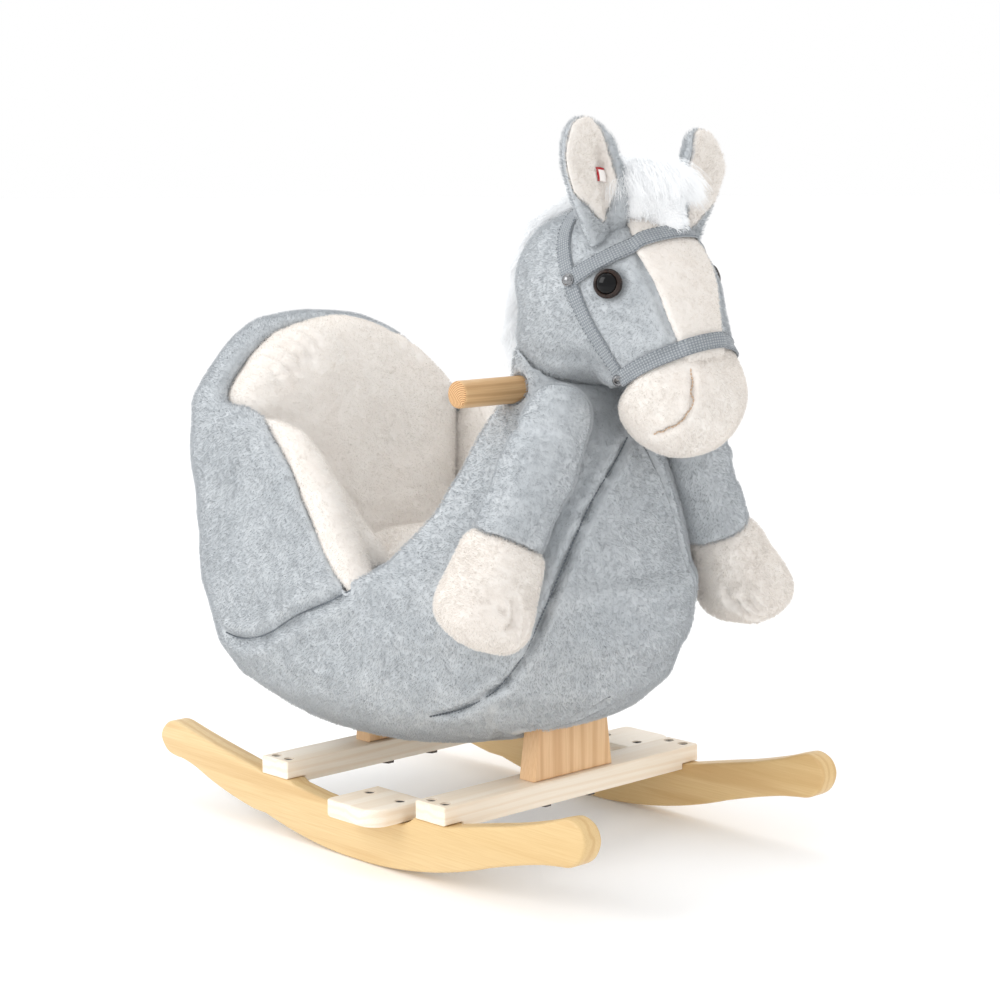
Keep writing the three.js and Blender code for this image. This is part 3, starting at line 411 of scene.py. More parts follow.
def smin(a, b, k):
    h = np.clip(0.5 + 0.5 * (b - a) / k, 0, 1)
    return b + (a - b) * h - k * h * (1 - h)


def smax(a, b, k):
    return -smin(-a, -b, k)


def blur(f, h, sigma):
    r = max(1, int(math.ceil(2.4 * sigma / h)))
    w = np.exp(-0.5 * (np.arange(-r, r + 1) * h / sigma) ** 2)
    w /= w.sum()
    for ax in range(3):
        p = np.pad(f, [(r, r) if i == ax else (0, 0) for i in range(3)], mode="edge")
        o = np.zeros_like(f)
        for i, wi in enumerate(w):
            sl = [slice(None)] * 3
            sl[ax] = slice(i, i + f.shape[ax])
            o += np.float32(wi) * p[tuple(sl)]
        f = o
    return f


def skin(grid, f):
    """Vertices (layout mm) and faces of the zero surface."""
    f = np.pad(np.clip(f, -4 * grid.h, 4 * grid.h), 2, constant_values=4 * grid.h).astype(np.float32)
    g = openvdb.FloatGrid(float(4 * grid.h))
    g.copyFromArray(f)
    pts, tris, quads = g.convertToPolygons(0.0, 0.0)
    v = (np.asarray(pts, float) - 2) * grid.h + grid.lo
    quads = np.asarray(quads, int)
    faces = [tuple(int(i) for i in q) for q in quads] + [tuple(int(i) for i in t) for t in np.asarray(tris, int)]
    if len(quads):
        a, b, c = v[quads[:, 0]], v[quads[:, 1]], v[quads[:, 2]]
        d = v[quads[:, 3]]
        vol = np.einsum("ij,ij->i", a, np.cross(b, c)).sum() + np.einsum("ij,ij->i", a, np.cross(c, d)).sum()
        if vol < 0:
            faces = [tuple(reversed(q)) for q in faces]
    return v, faces


def largest(v, faces):
    """Keeps the biggest connected part."""
    n = len(v)
    lab = np.arange(n)
    F = np.array([list(q) + [q[-1]] * (4 - len(q)) for q in faces])
    while True:
        m = lab[F].min(1)
        new = lab.copy()
        for k in range(4):
            np.minimum.at(new, F[:, k], m)
        new = new[new]
        if (new == lab).all():
            break
        lab = new
    cnt = np.bincount(lab, minlength=n)
    keep = lab == cnt.argmax()
    if keep.all():
        return v, faces
    idx = np.cumsum(keep) - 1
    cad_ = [tuple(int(idx[i]) for i in q) for q in faces if keep[q[0]]]
    return v[keep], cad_


def make_mesh(name, v_mm, faces, material, smooth=True):
    me = bpy.data.meshes.new(name)
    me.from_pydata([tuple(p) for p in row(v_mm)], [], faces)
    me.update()
    if smooth:
        me.polygons.foreach_set("use_smooth", [True] * len(me.polygons))
    me.materials.append(material)
    o = bpy.data.objects.new(name, me)
    SCENE.collection.objects.link(o)
    return o


def coords_mm(o):
    a = np.empty(len(o.data.vertices) * 3, np.float32)
    o.data.vertices.foreach_get("co", a)
    return a.reshape(-1, 3).astype(float) * 1000 - np.array([SX, 0, 0])


def set_mm(o, v):
    o.data.vertices.foreach_set("co", row(v).astype(np.float32).ravel())
    o.data.update()


def normals(o):
    a = np.empty(len(o.data.vertices) * 3, np.float32)
    o.data.vertex_normals.foreach_get("vector", a)
    return a.reshape(-1, 3).astype(float)


def hashnoise(p, scale, seed=0):
    """Smooth value noise on points (mm), -1 to 1."""
    q = np.asarray(p) / scale + np.array([seed * 17.13, seed * 5.71, seed * 11.9])
    i = np.floor(q).astype(np.int64)
    f = q - i
    f = f * f * (3 - 2 * f)

    def h(a, b, c):
        n = (a * 374761393 + b * 668265263 + c * 2147483647 + seed * 97) & 0xFFFFFFFF
        n = ((n ^ (n >> 13)) * 1274126177) & 0xFFFFFFFF
        n = n ^ (n >> 16)
        return (n & 0xFFFF) / 32767.5 - 1.0

    out = 0
    for dx in (0, 1):
        for dy in (0, 1):
            for dz in (0, 1):
                w = (f[:, 0] if dx else 1 - f[:, 0]) * (f[:, 1] if dy else 1 - f[:, 1]) * (f[:, 2] if dz else 1 - f[:, 2])
                out = out + w * h(i[:, 0] + dx, i[:, 1] + dy, i[:, 2] + dz)
    return out


def poly_dist(p, line):
    """Distance from each point to a polyline, and how far along it the nearest place is."""
    line = np.asarray(line, float)
    best = np.full(len(p), 1e9)
    along = np.zeros(len(p))
    s0 = 0.0
    for a, b in zip(line[:-1], line[1:]):
        d = b - a
        L = np.linalg.norm(d)
        t = np.clip(((p - a) @ d) / max(L * L, 1e-9), 0, 1)
        r = np.linalg.norm(p - a - t[:, None] * d, axis=1)
        m = r < best
        best[m] = r[m]
        along[m] = s0 + t[m] * L
        s0 += L
    return best, along


SEAM_LINES = []


def groove(o, line, depth=3.0, width=4.0, bulge=0.0, pucker=0.3, seed=1, fade=12.0):
    """Presses a sewn seam into a soft surface, with small gathers along it."""
    v, n = coords_mm(o), normals(o)
    d, s = poly_dist(v, line)
    L = sum(np.linalg.norm(np.subtract(b, a)) for a, b in zip(line[:-1], line[1:]))
    ends = np.clip(np.minimum(s, L - s) / fade, 0, 1) ** 0.7
    if depth > 1.7:
        SEAM_LINES.append(np.asarray(line)[::2])
    k = depth * (1 + pucker * hashnoise(np.stack([s, s * 0, s * 0], 1), 7.0, seed)) * np.exp(-((d / width) ** 2))
    k -= bulge * np.exp(-(((d - 2.3 * width) / (1.3 * width)) ** 2))
    k = k + depth * 0.5 * pucker * np.exp(-((d / (3.2 * width)) ** 2)) * hashnoise(np.stack([s, d * 0.3, s * 0], 1), 9.0, seed + 3)
    set_mm(o, v - n * (k * ends)[:, None])


def relax(o, times=1, factor=0.5):
    me = o.data
    e = np.empty(len(me.edges) * 2, np.int32)
    me.edges.foreach_get("vertices", e)
    e = e.reshape(-1, 2)
    v = coords_mm(o)
    cnt = np.bincount(e.ravel(), minlength=len(v)).reshape(-1, 1)
    for _ in range(times):
        acc = np.zeros_like(v)
        for k in range(3):
            acc[:, k] = np.bincount(e[:, 0], v[e[:, 1], k], len(v)) + np.bincount(e[:, 1], v[e[:, 0], k], len(v))
        v = v + factor * (acc / np.maximum(cnt, 1) - v)
    set_mm(o, v)


def soften(o, amp=1.0, scale=38.0, seed=5):
    v, n = coords_mm(o), normals(o)
    k = amp * hashnoise(v, scale, seed) + 0.45 * amp * hashnoise(v, scale * 0.42, seed + 1) + 0.2 * amp * hashnoise(v, scale * 0.16, seed + 2)
    set_mm(o, v + n * k[:, None])


PUFF_LOG = []


def puff(o, pin, pressure=3.0, frames=14, cap=8.0, tension=12.0, shrink=0.0):
    """Blows a sewn cover up with Blender's cloth, holding the vertices that pin() picks, then bakes the result in."""
    v0 = coords_mm(o)
    w = pin(v0)
    vg = o.vertex_groups.new(name="held")
    for val in np.unique(np.round(w, 2)):
        if val > 0:
            vg.add([int(i) for i in np.where(np.round(w, 2) == val)[0]], float(val), "REPLACE")
    m = o.modifiers.new("cloth", "CLOTH")
    st = m.settings
    st.quality = 4
    st.mass = 0.12
    st.tension_stiffness = tension
    st.compression_stiffness = tension
    st.shear_stiffness = tension * 0.6
    st.bending_stiffness = 0.6
    st.tension_damping = st.compression_damping = st.shear_damping = 12
    st.air_damping = 2.0
    st.use_pressure = True
    st.uniform_pressure_force = pressure
    st.vertex_group_mass = "held"
    st.pin_stiffness = 1.0
    st.shrink_min = shrink
    st.effector_weights.gravity = 0
    m.collision_settings.use_collision = False
    m.collision_settings.use_self_collision = False
    m.point_cache.frame_start = 1
    m.point_cache.frame_end = frames
    for f in range(1, frames + 1):
        SCENE.frame_set(f)
    dg = bpy.context.evaluated_depsgraph_get()
    ev = o.evaluated_get(dg)
    a = np.empty(len(ev.data.vertices) * 3, np.float32)
    ev.data.vertices.foreach_get("co", a)
    v1 = a.reshape(-1, 3).astype(float) * 1000 - np.array([SX, 0, 0])
    o.modifiers.remove(m)
    o.vertex_groups.clear()
    SCENE.frame_set(1)
    d = v1 - v0
    if not np.isfinite(d).all():
        PUFF_LOG.append((o.name, "not finite"))
        return o
    L = np.linalg.norm(d, axis=1)
    s = np.where(L > 1e-6, cap * np.tanh(L / cap) / np.maximum(L, 1e-6), 1.0)
    set_mm(o, v0 + d * s[:, None])
    PUFF_LOG.append((o.name, round(float(L.max()), 2), round(float(L.mean()), 2)))
    return o


def subdivide(o, levels=1):
    m = o.modifiers.new("sub", "SUBSURF")
    m.levels = m.render_levels = levels
    with bpy.context.temp_override(object=o, active_object=o, selected_objects=[o]):
        bpy.ops.object.modifier_apply(modifier=m.name)
    return o


def declare(o, body, nodes=()):
    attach(o, body)
    if nodes:
        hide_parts(*nodes)
    return o


# ------------------------------------------------------------------ hair
class Fur:
    """Collects strands for one moving body and one material."""

    def __init__(s, name, body, material):
        s.name, s.body, s.material = name, body, material
        s.P, s.R = [], []

    def add(s, pts, rad):
        s.P.append(pts.astype(np.float32))
        s.R.append(rad.astype(np.float32))

    def build(s):
        if not s.P:
            return
        P, R = np.concatenate(s.P), np.concatenate(s.R)
        n, k = P.shape[0], P.shape[1]
        c = bpy.data.hair_curves.new(s.name)
        c.add_curves([k] * n)
        c.attributes["position"].data.foreach_set("vector", row(P.reshape(-1, 3)).astype(np.float32).ravel())
        a = c.attributes.get("radius") or c.attributes.new("radius", "FLOAT", "POINT")
        a.data.foreach_set("value", (R / 1000.0).astype(np.float32).ravel())
        c.materials.append(s.material)
        o = bpy.data.objects.new(s.name, c)
        SCENE.collection.objects.link(o)
        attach(o, s.body)


def scatter(o, per_cm2, rng, mask=None):
    """Random places on a mesh: positions and normals in layout mm."""
    me = o.data
    me.calc_loop_triangles()
    t = np.empty(len(me.loop_triangles) * 3, np.int32)
    me.loop_triangles.foreach_get("vertices", t)
    t = t.reshape(-1, 3)
    v, nn = coords_mm(o), normals(o)
    a, b, c = v[t[:, 0]], v[t[:, 1]], v[t[:, 2]]
    area = 0.5 * np.linalg.norm(np.cross(b - a, c - a), axis=1)
    n = int(area.sum() / 100.0 * per_cm2)
    i = rng.choice(len(t), n, p=area / area.sum())
    r1, r2 = np.sqrt(rng.random(n)), rng.random(n)
    w0, w1, w2 = 1 - r1, r1 * (1 - r2), r1 * r2
    p = a[i] * w0[:, None] + b[i] * w1[:, None] + c[i] * w2[:, None]
    q = nn[t[i, 0]] * w0[:, None] + nn[t[i, 1]] * w1[:, None] + nn[t[i, 2]] * w2[:, None]
    q /= np.maximum(np.linalg.norm(q, axis=1), 1e-6)[:, None]
    if mask is not None:
        m = mask(p, q)
        p, q = p[m], q[m]
    return p, q


def pile(fur, o, per_cm2, length, rng, nap=(0.0, 0.0, -1.0), lean=0.75, radius=0.13, mask=None, seed=11, clump=1.0):
    """Short plush pile that leans along the nap, with parted and matted patches."""
    p, q = scatter(o, per_cm2, rng, mask)
    n = len(p)
    g = np.array(nap, float)
    g = g / np.linalg.norm(g)
    t = g - q * (q @ g)[:, None]
    w = np.stack([hashnoise(p, 9.0, seed), hashnoise(p, 9.0, seed + 1), hashnoise(p, 9.0, seed + 2)], 1)
    w2 = np.stack([hashnoise(p, 3.2, seed + 4), hashnoise(p, 3.2, seed + 5), hashnoise(p, 3.2, seed + 6)], 1)
    t = t + clump * (0.4 * w + 0.3 * w2) + 0.5 * rng.normal(size=(n, 3))
    t -= q * np.einsum("ij,ij->i", t, q)[:, None]
    L = length * (0.78 + 0.35 * rng.random(n)) * (1 + 0.18 * hashnoise(p, 14.0, seed + 8))
    for ln in SEAM_LINES:
        near = np.where((p >= ln.min(0) - 9).all(1) & (p <= ln.max(0) + 9).all(1))[0]
        if len(near):
            dd = poly_dist(p[near], ln)[0]
            L[near] *= 1 - 0.72 * np.exp(-((dd / 4.2) ** 2))
    t *= lean * 0.78
    k = np.array([0.0, 0.4, 0.75, 1.0])
    up = np.array([0.0, 0.42, 0.68, 0.8])
    side = np.array([0.0, 0.18, 0.5, 0.85])
    root = p - q * 0.4
    pts = root[:, None, :] + q[:, None, :] * (up[None, :, None] * L[:, None, None]) + t[:, None, :] * (side[None, :, None] * L[:, None, None])
    rad = radius * np.array([1.0, 0.9, 0.65, 0.2])[None, :] * (0.8 + 0.4 * rng.random(n))[:, None]
    fur.add(pts, rad)


RNG = np.random.default_rng(20)
FUR = {}


def fur_of(kind, body):
    key = kind + "_" + body
    if key not in FUR:
        FUR[key] = Fur("pile_" + key, body, {"grey": GREY_HAIR, "cream": CREAM_HAIR, "white": WHITE_HAIR}[kind])
    return FUR[key]



# ------------------------------------------------------------------ tables of the layout
LOWER = [[77, -116, -8, -48, 46, 2.4, 2.1], [82, -145, 28, -44, 74, 2.7, 2.1], [90, -172, 68, -40, 94, 3.0, 2.1], [103, -203, 112, -36, 113, 3.4, 2.1],
         [122, -229, 157, -33, 130, 3.8, 2.1], [147, -243, 188, -32, 141, 4.3, 2.1], [178, -250, 203, -31, 146.5, 4.5, 2.05], [205, -254, 210, -30, 149, 4.5, 2.0], [232, -257, 212, -30, 150, 4.5, 2.0]]
REAR = [[200, -248, 60, -30, 146, 4.5, 3], [260, -256, 60, -30, 150, 4.5, 3], [320, -263, 60, -30, 153, 4.4, 3], [345, -265, 60, -30, 153, 4.0, 3], [365, -267, 60, -30, 153, 4.0, 3], [400, -263, 60, -30, 150, 3.2, 3], [450, -252, 60, -30, 142, 2.7, 3]]
FRONT = [[190, -5, 200, 20, 138, 2.4, 2.0], [232, 2, 210.5, 10, 147, 2.3, 2.0], [252, 28, 207, 38, 139, 2.3, 2.0], [274, 47, 204, 56, 126, 2.3, 2.0], [300, 62, 200, 70, 111, 2.2, 2.0],
         [330, 71, 194, 80, 94, 2.2, 2.0], [355, 76, 186, 88, 81, 2.2, 2.0], [378, 79, 170, 96, 66, 2.2, 2.0], [404, 80, 156, 106, 57, 2.2, 2.0], [430, 80, 150, 106, 52, 2.2, 2.0]]
RIM = np.array([(-300, 366), (-240, 369), (-190, 370), (-150, 366), (-115, 357), (-85, 344), (-62, 322), (-42, 294), (-22, 262), (-4, 240), (14, 228), (60, 226), (300, 226)], float)
PAD_BACK = np.array([[204, -150, -106, 62], [240, -160, -110, 72], [300, -182, -127, 92], [360, -204, -148, 112], [400, -216, -163, 118], [446, -226, -180, 110]], float)
WING_IN = np.array([[196, 66], [240, 74], [280, 90], [320, 103], [376, 112], [480, 118]], float)
CUSHION = [(-104, 0), (-104, 52), (-88, 66), (-50, 78), (-20, 104), (4, 136), (24, 141), (44, 132), (60, 100), (70, 60), (74, 0), (70, -60), (60, -100), (44, -132), (24, -141), (4, -136), (-20, -104), (-50, -78), (-88, -66), (-104, -52)]
SHOULDER = {"right": (170, -64, 388), "left": (170, 60, 388)}
CUFF = {"right": (154, -112.5, 277.5), "left": (171, 113, 266)}
HOOF = [[0.8, 30, 28], [8, 34, 31], [26, 38, 34], [46, 42, 37], [62, 43, 38], [75, 38, 33], [84, 27, 23], [88, 11, 9]]


def catmull(P, n=8, closed=False):
    P = [np.array(p, float) for p in P]
    m = len(P)
    out = []
    for i in range(m if closed else m - 1):
        if closed:
            a, b, c, d = P[(i - 1) % m], P[i], P[(i + 1) % m], P[(i + 2) % m]
        else:
            b, c = P[i], P[i + 1]
            a = P[i - 1] if i else 2 * b - c
            d = P[i + 2] if i + 2 < m else 2 * c - b
        for k in range(n):
            t = k / n
            out.append(0.5 * (2 * b + (c - a) * t + (2 * a - 5 * b + 4 * c - d) * t * t + (3 * b - a - 3 * c + d) * t ** 3))
    if not closed:
        out.append(P[-1])
    return np.array(out)


def poly_sdf(px, py, poly):
    """Signed distance (negative inside) to a closed outline."""
    poly = np.asarray(poly, float)
    px, py = np.broadcast_arrays(px, py)
    best = np.full(px.shape, 1e18)
    inside = np.zeros(px.shape, bool)
    for a, b in zip(poly, np.roll(poly, -1, 0)):
        ex, ey = b - a
        wx, wy = px - a[0], py - a[1]
        t = np.clip((wx * ex + wy * ey) / (ex * ex + ey * ey + 1e-12), 0, 1)
        best = np.minimum(best, (wx - t * ex) ** 2 + (wy - t * ey) ** 2)
        if abs(ey) > 1e-12:
            c = ((a[1] > py) != (b[1] > py)) & (px < ex * (py - a[1]) / ey + a[0])
            inside ^= c
    return np.where(inside, -1, 1) * np.sqrt(best)


def rot(axis, t):
    c, s = math.cos(t), math.sin(t)
    return np.array({"x": [[1, 0, 0], [0, c, -s], [0, s, c]], "y": [[c, 0, s], [0, 1, 0], [-s, 0, c]], "z": [[c, -s, 0], [s, c, 0], [0, 0, 1]]}[axis])


def stamp(g, F, a, b, ra, rb, k=3.0):
    """Joins one capsule to a field in its own small window."""
    a, b = np.array(a, float), np.array(b, float)
    pad = max(ra, rb) + 3 * k + 2 * g.h
    lo = np.maximum(np.floor((np.minimum(a, b) - pad - g.lo) / g.h).astype(int), 0)
    hi = np.minimum(np.ceil((np.maximum(a, b) + pad - g.lo) / g.h).astype(int) + 1, g.n)
    if (hi <= lo).any():
        return
    x, y, z = g.X[lo[0]:hi[0]], g.Y[:, lo[1]:hi[1]], g.Z[:, :, lo[2]:hi[2]]
    d = b - a
    t = np.clip(((x - a[0]) * d[0] + (y - a[1]) * d[1] + (z - a[2]) * d[2]) / max(float(d @ d), 1e-9), 0, 1)
    r = np.sqrt((x - a[0] - t * d[0]) ** 2 + (y - a[1] - t * d[1]) ** 2 + (z - a[2] - t * d[2]) ** 2) - (ra + (rb - ra) * t)
    s = (slice(lo[0], hi[0]), slice(lo[1], hi[1]), slice(lo[2], hi[2]))
    F[s] = smin(F[s], r, k)


def piece(name, g, f, material, body, nodes, relaxed=1):
    v, faces = largest(*skin(g, f))
    o = make_mesh(name, v, faces, material)
    if relaxed:
        relax(o, relaxed)
    declare(o, body, nodes)
    return o


def leg_field(g, side, grow=0.0):
    a, b = np.array(SHOULDER[side], float), np.array(CUFF[side], float)
    d = (b - a) / np.linalg.norm(b - a)
    L = np.linalg.norm(b - a)
    f = smin(g.capsule(a + d * 16, a + d * L * 0.5, 26, 28.5), g.capsule(a + d * L * 0.5, b + d * 3, 28.0, 28.5), 6)
    along = (g.X - a[0]) * d[0] + (g.Y - a[1]) * d[1] + (g.Z - a[2]) * d[2]
    return smax(f, along - L - 1.5, 7) - grow


def hoof_field(g, side, grow=0.0):
    a, b = np.array(SHOULDER[side], float), np.array(CUFF[side], float)
    d = (b - a) / np.linalg.norm(b - a)
    sd = np.array([1, 0, 0]) - d * d[0]
    sd /= np.linalg.norm(sd)
    fr = np.cross(sd, d)
    x, y, z = g.X - b[0], g.Y - b[1], g.Z - b[2]
    s = x * d[0] + y * d[1] + z * d[2]
    T = np.array(HOOF)
    x = x - (0.1 if side == "right" else 0.17) * s
    y = y - (0 if side == "right" else 0.06) * s
    u = x * sd[0] + y * sd[1] + z * sd[2]
    w = x * fr[0] + y * fr[1] + z * fr[2]
    ra = np.interp(s, T[:, 0], T[:, 1]).astype(np.float32)
    rb = np.interp(s, T[:, 0], T[:, 2]).astype(np.float32)
    # a soft square section, so the mitten keeps its corners
    off = np.interp(s, [0, 30], [0.6, 3.5]).astype(np.float32)
    q = ((np.abs(u) / (ra - off)) ** 2.5 + (np.abs(w) / (rb - off)) ** 2.5) ** (1 / 2.5)
    f = g.norm((q - 1) * 34.0)
    f = smax(f, s - 86, 20)
    f = smax(f, -s - 1.5, 5)
    return blur(f, g.h, 3.0) - grow


# ------------------------------------------------------------------ body, pads and cushion on one grid
G = Grid((-300, -186, 62), (236, 186, 474), 3.0)
rimz = np.interp(G.X[:, 0, 0], RIM[:, 0], RIM[:, 1]).reshape(-1, 1, 1).astype(np.float32)
rimz = blur(np.broadcast_to(rimz, (len(rimz), 1, 1)).copy(), 3.0, 8.0)[:, :1, :1]
fL, fR, fF = G.plan(LOWER), G.plan(REAR), G.plan(FRONT)
rearness = np.clip((-100 - G.X) / 30, 0, 1)
rimtop = rimz + 1 - 7 * (1 - rearness)
wings = smax(np.maximum(fR, G.X - 62), G.Z - rimtop, 26)
crown = 360 + 82 * np.maximum(0, 1 - (np.abs(G.Y) / 155) ** 2.3) ** 0.86
backz = G.X - (-176 - (G.Z - 150) * 18 / 350)
back = smax(smax(fR, backz, 22), (G.Z - crown) * 0.86, 26)
shell = smin(smin(fL, wings, 8), fF, 20)
shell = smin(shell, back, 16)
shell = blur(shell, 3.0, 3.6) + 2.6

wi = np.interp(G.Z[0, 0, :], WING_IN[:, 0], WING_IN[:, 1]).reshape(1, 1, -1)
bz = [np.interp(G.Z[0, 0, :], PAD_BACK[:, 0], PAD_BACK[:, i]).reshape(1, 1, -1) for i in (1, 2, 3)]
bz[2] = bz[2] + np.interp(G.Z[0, 0, :], [355, 372, 400, 450], [15, 24, 24, 15]).reshape(1, 1, -1)
aY = np.abs(G.Y)
# back pad: puffed out of the back part, thin where the cover holds it in at the edge
cr2 = 340 + 94 * np.maximum(0, 1 - (aY / 146) ** 2.05) ** 0.9
mid = (bz[0] + bz[1]) / 2 - 4
af = np.where(G.X > mid, bz[1] + 5 - mid, mid - bz[0])
q = ((np.abs(G.X - mid) / af) ** 3.0 + (aY / bz[2]) ** 4.0) ** (1 / 3.4)
fBP = smax(smax(G.norm((q - 1) * 60), (G.Z - cr2) * 0.86, 30), 203 - G.Z, 10)
fBP = blur(fBP, 3.0, 4.0)
# cushion
cush = catmull(CUSHION, 5, True)
d2 = poly_sdf(G.X[:, :, 0], G.Y[:, :, 0], cush)[:, :, None].astype(np.float32)
droop = 1 - 0.45 * (np.minimum(aY, 141) / 141) ** 3
top = 221 + 38 * droop * (1 - np.exp(np.minimum(d2, 0) / 17.0)) ** 0.55
d2 = d2 - 6
fCU = smax(smax(d2, (G.Z - top) * 0.85, 12), 198 - G.Z, 8)
fCU = blur(fCU, 3.0, 2.6)
fCU = np.maximum(fCU, shell + 10)
# wing pads with the cream roll along the rim
roll = np.full(tuple(G.n), 60.0, np.float32)
path = [(x, float(np.interp(x, [-150, -118, -95, -20, 12], [122, 128, 131, 132, 135])), float(np.interp(x, RIM[:, 0], RIM[:, 1])) - float(np.interp(x, [-150, -118, -80, 0, 12], [14, 9, 5.5, 6, 9])), float(np.interp(x, [-150, -118, -98, -78, -50, -25, 0, 12], [2.5, 4, 8, 11.5, 14.5, 15, 12.5, 8]))) for x in np.linspace(-148, 10, 30)]
for (x0, y0, z0, r0), (x1, y1, z1, r1) in zip(path[:-1], path[1:]):
    for s in (-1, 1):
        stamp(G, roll, (x0, s * y0, z0), (x1, s * y1, z1), r0, r1, 4)
padin = wi + np.interp(G.X[:, 0, 0], [-196, -60, 30], [12, 8, 10]).reshape(-1, 1, 1)
wp = smax(smax(padin - aY, aY - np.interp(G.X[:, 0, 0], [-200, -140, -100, 30], [118, 124, 133, 134]).reshape(-1, 1, 1), 8), G.Z - rimz + np.interp(G.X[:, 0, 0], [-200, -120, -60, 30], [2, 1, -4, -4]).reshape(-1, 1, 1), 22)
wp = smax(smax(wp, G.X + 10, 12), -198 - G.X, 4)
wp = smax(wp, 196 - G.Z, 3)
wp = smin(wp, roll, 9)
wp = blur(wp, 3.0, 2.2)
wp = np.maximum(wp, np.where(G.Z < rimz - 26, shell + 7, -60))
wp = np.maximum(wp, -(fCU - 0.9))
fWP = np.maximum(wp, -(fBP - 0.9))
fCU = np.maximum(fCU, -(fBP - 0.9))

pads = np.minimum(np.minimum(fBP, fCU), fWP)
fl = np.interp(G.Z[0, 0, :], [205, 220, 240, 290, 330, 404, 700], [14, 18, 30, 60, 74, 80, 88]).reshape(1, 1, -1)
free = np.maximum(np.maximum(aY - wi - 11, G.X - fl), np.maximum(mid - G.X, 206 - G.Z))
body = smax(shell, -free, 14)
body = np.maximum(body, -(pads - 1.0))
legs = {s: leg_field(G, s) for s in ("right", "left")}
hooves = {s: hoof_field(G, s) for s in ("right", "left")}
for s in ("right", "left"):
    body = smax(body, -(legs[s] - 1.6), 6)
    body = smax(body, -(hooves[s] - 2.0), 6)
muzzle_room = G.ell((233, 0, 392), (53, 54, 51), 0.4)
body = smax(body, -muzzle_room, 4)
body = smax(body, -G.capsule((105, -160, 390), (105, 160, 390), 12.0, 12.0), 4)
neckhead = smin(G.ell((162, 0, 470), (92, 68, 70), 0.12), G.ell((132, 0, 432), (58, 60, 46)), 10)
neckhead = smin(smin(neckhead, G.ell((200, 0, 448), (60, 59, 62), 0.3), 10), G.ell((219, 0, 420), (52, 52.5, 54)), 10) + 2.4
neckhead = smax(neckhead, 393 - G.Z, 12)
body = smax(body, G.Z - np.interp(G.X, [20, 40, 60, 75, 90, 140], [700, 700, 400, 410, 428, 445]).astype(np.float32), 5)
body = np.maximum(body, -(neckhead - 0.8))
for x0, x1, wb, wt in ((98, 117, 46, 37), (-101, -82, 55, 49)):
    half = np.interp(G.Z[0, 0, :], [66, 130], [wb, wt]).reshape(1, 1, -1)
    r = np.maximum(np.maximum(x0 - 1 - G.X, G.X - x1 - 1), np.maximum(aY - half - 1, G.Z - 130.5))
    body = np.maximum(body, -r)
BODY = piece("body_cover_plush", G, body, GREY, ROOT, ["body_cover"], 2)
print("body", len(BODY.data.vertices), flush=True)

SEAMS = {
    "side": [(6.6, -147.5, 225.7), (-25.4, -148.9, 210.8), (-60.2, -147.8, 195.8), (-97.4, -145.6, 177.4), (-126.4, -142.9, 164.1), (-163.7, -138.5, 158.0), (-189.2, -133.5, 160.8)],
    "chest": [(184.9, -7.5, 355), (187.6, -26.3, 333.7), (185.9, -42.6, 312.8), (183.1, -57.6, 290.3), (178.8, -73.2, 258.3), (171.1, -84.3, 227), (160.8, -88.5, 198.1), (150.7, -93.1, 178), (136.3, -97.9, 159.5), (121.1, -104.4, 148.3), (96, -108, 132), (60, -112, 122)],
    "chest_far": [(184.9, 7.5, 355), (189.6, 18, 335.6), (192.1, 35.9, 300.1), (191.9, 52.1, 261.4), (187.3, 63.9, 222.1), (176, 74, 190), (160, 84, 165), (138, 94, 150), (112, 104, 140), (60, 112, 122)],
    "dart": [(181.3, -22.1, 142.5), (169.2, -26.9, 128.9), (161.4, -33.9, 123), (140, -44, 108), (112, -52, 96)],
}


def on_surface(o, line, n=6):
    """Moves a seam's points on to the mesh it is sewn in."""
    me = o.data
    bvh = BVHTree.FromPolygons([v.co for v in me.vertices], [tuple(p.vertices) for p in me.polygons])
    out = []
    for p in catmull(line, n):
        hit = bvh.find_nearest(Vector(row(p)))
        out.append(np.array(hit[0]) * 1000 - np.array([SX, 0, 0]))
    return np.array(out)


soften(BODY, 1.3, 44, 3)
lines = {}
for k, seam in SEAMS.items():
    lines[k] = on_surface(BODY, seam)
groove(BODY, lines["chest"], 6.6, 3.1, 1.8, 0.6, 2)
groove(BODY, lines["chest_far"], 5.2, 3.1, 1.2, 0.5, 5)
groove(BODY, lines["dart"], 6.2, 3.2, 1.4, 0.6, 4)
groove(BODY, lines["side"], 5.4, 5.0, 2.4, 0.4, 6)
side_l = on_surface(BODY, [(x, -y, z) for x, y, z in SEAMS["side"]])
groove(BODY, side_l, 5.4, 5.0, 2.4, 0.4, 7)
# belly gathers above the risers
groove(BODY, on_surface(BODY, [(120, -96, 138), (104, -84, 116), (92, -60, 96), (60, -40, 82)]), 2.6, 5, 0.5, 0.8, 21)
groove(BODY, on_surface(BODY, [(-178, -110, 120), (-150, -96, 104), (-110, -80, 90), (-60, -66, 82)]), 2.4, 6, 0.5, 0.8, 22)
print("grooved", flush=True)


def body_pin(v):
    """The cover is held at the seams and the base; the pile side between them is free to fill."""
    w = np.zeros(len(v))
    for k in ("chest", "chest_far", "dart", "side"):
        w = np.maximum(w, np.exp(-((poly_dist(v, lines[k])[0] / 14) ** 2)))
    w = np.maximum(w, np.clip((110 - v[:, 2]) / 20, 0, 1))
    return w


BP = piece("backrest_pad_plush", G, fBP, CREAM, ROOT, ["backrest_pad"], 1)
CU = piece("seat_cushion_plush", G, fCU, CREAM, ROOT, ["seat_cushion"], 1)
WPS = {}
for side, s in (("right", -1), ("left", 1)):
    f = np.maximum(fWP, s * -G.Y + 30)
    WPS[side] = piece("wing_pad_%s_plush" % side, G, f, CREAM, ROOT, ["wing_pad_" + side], 1)
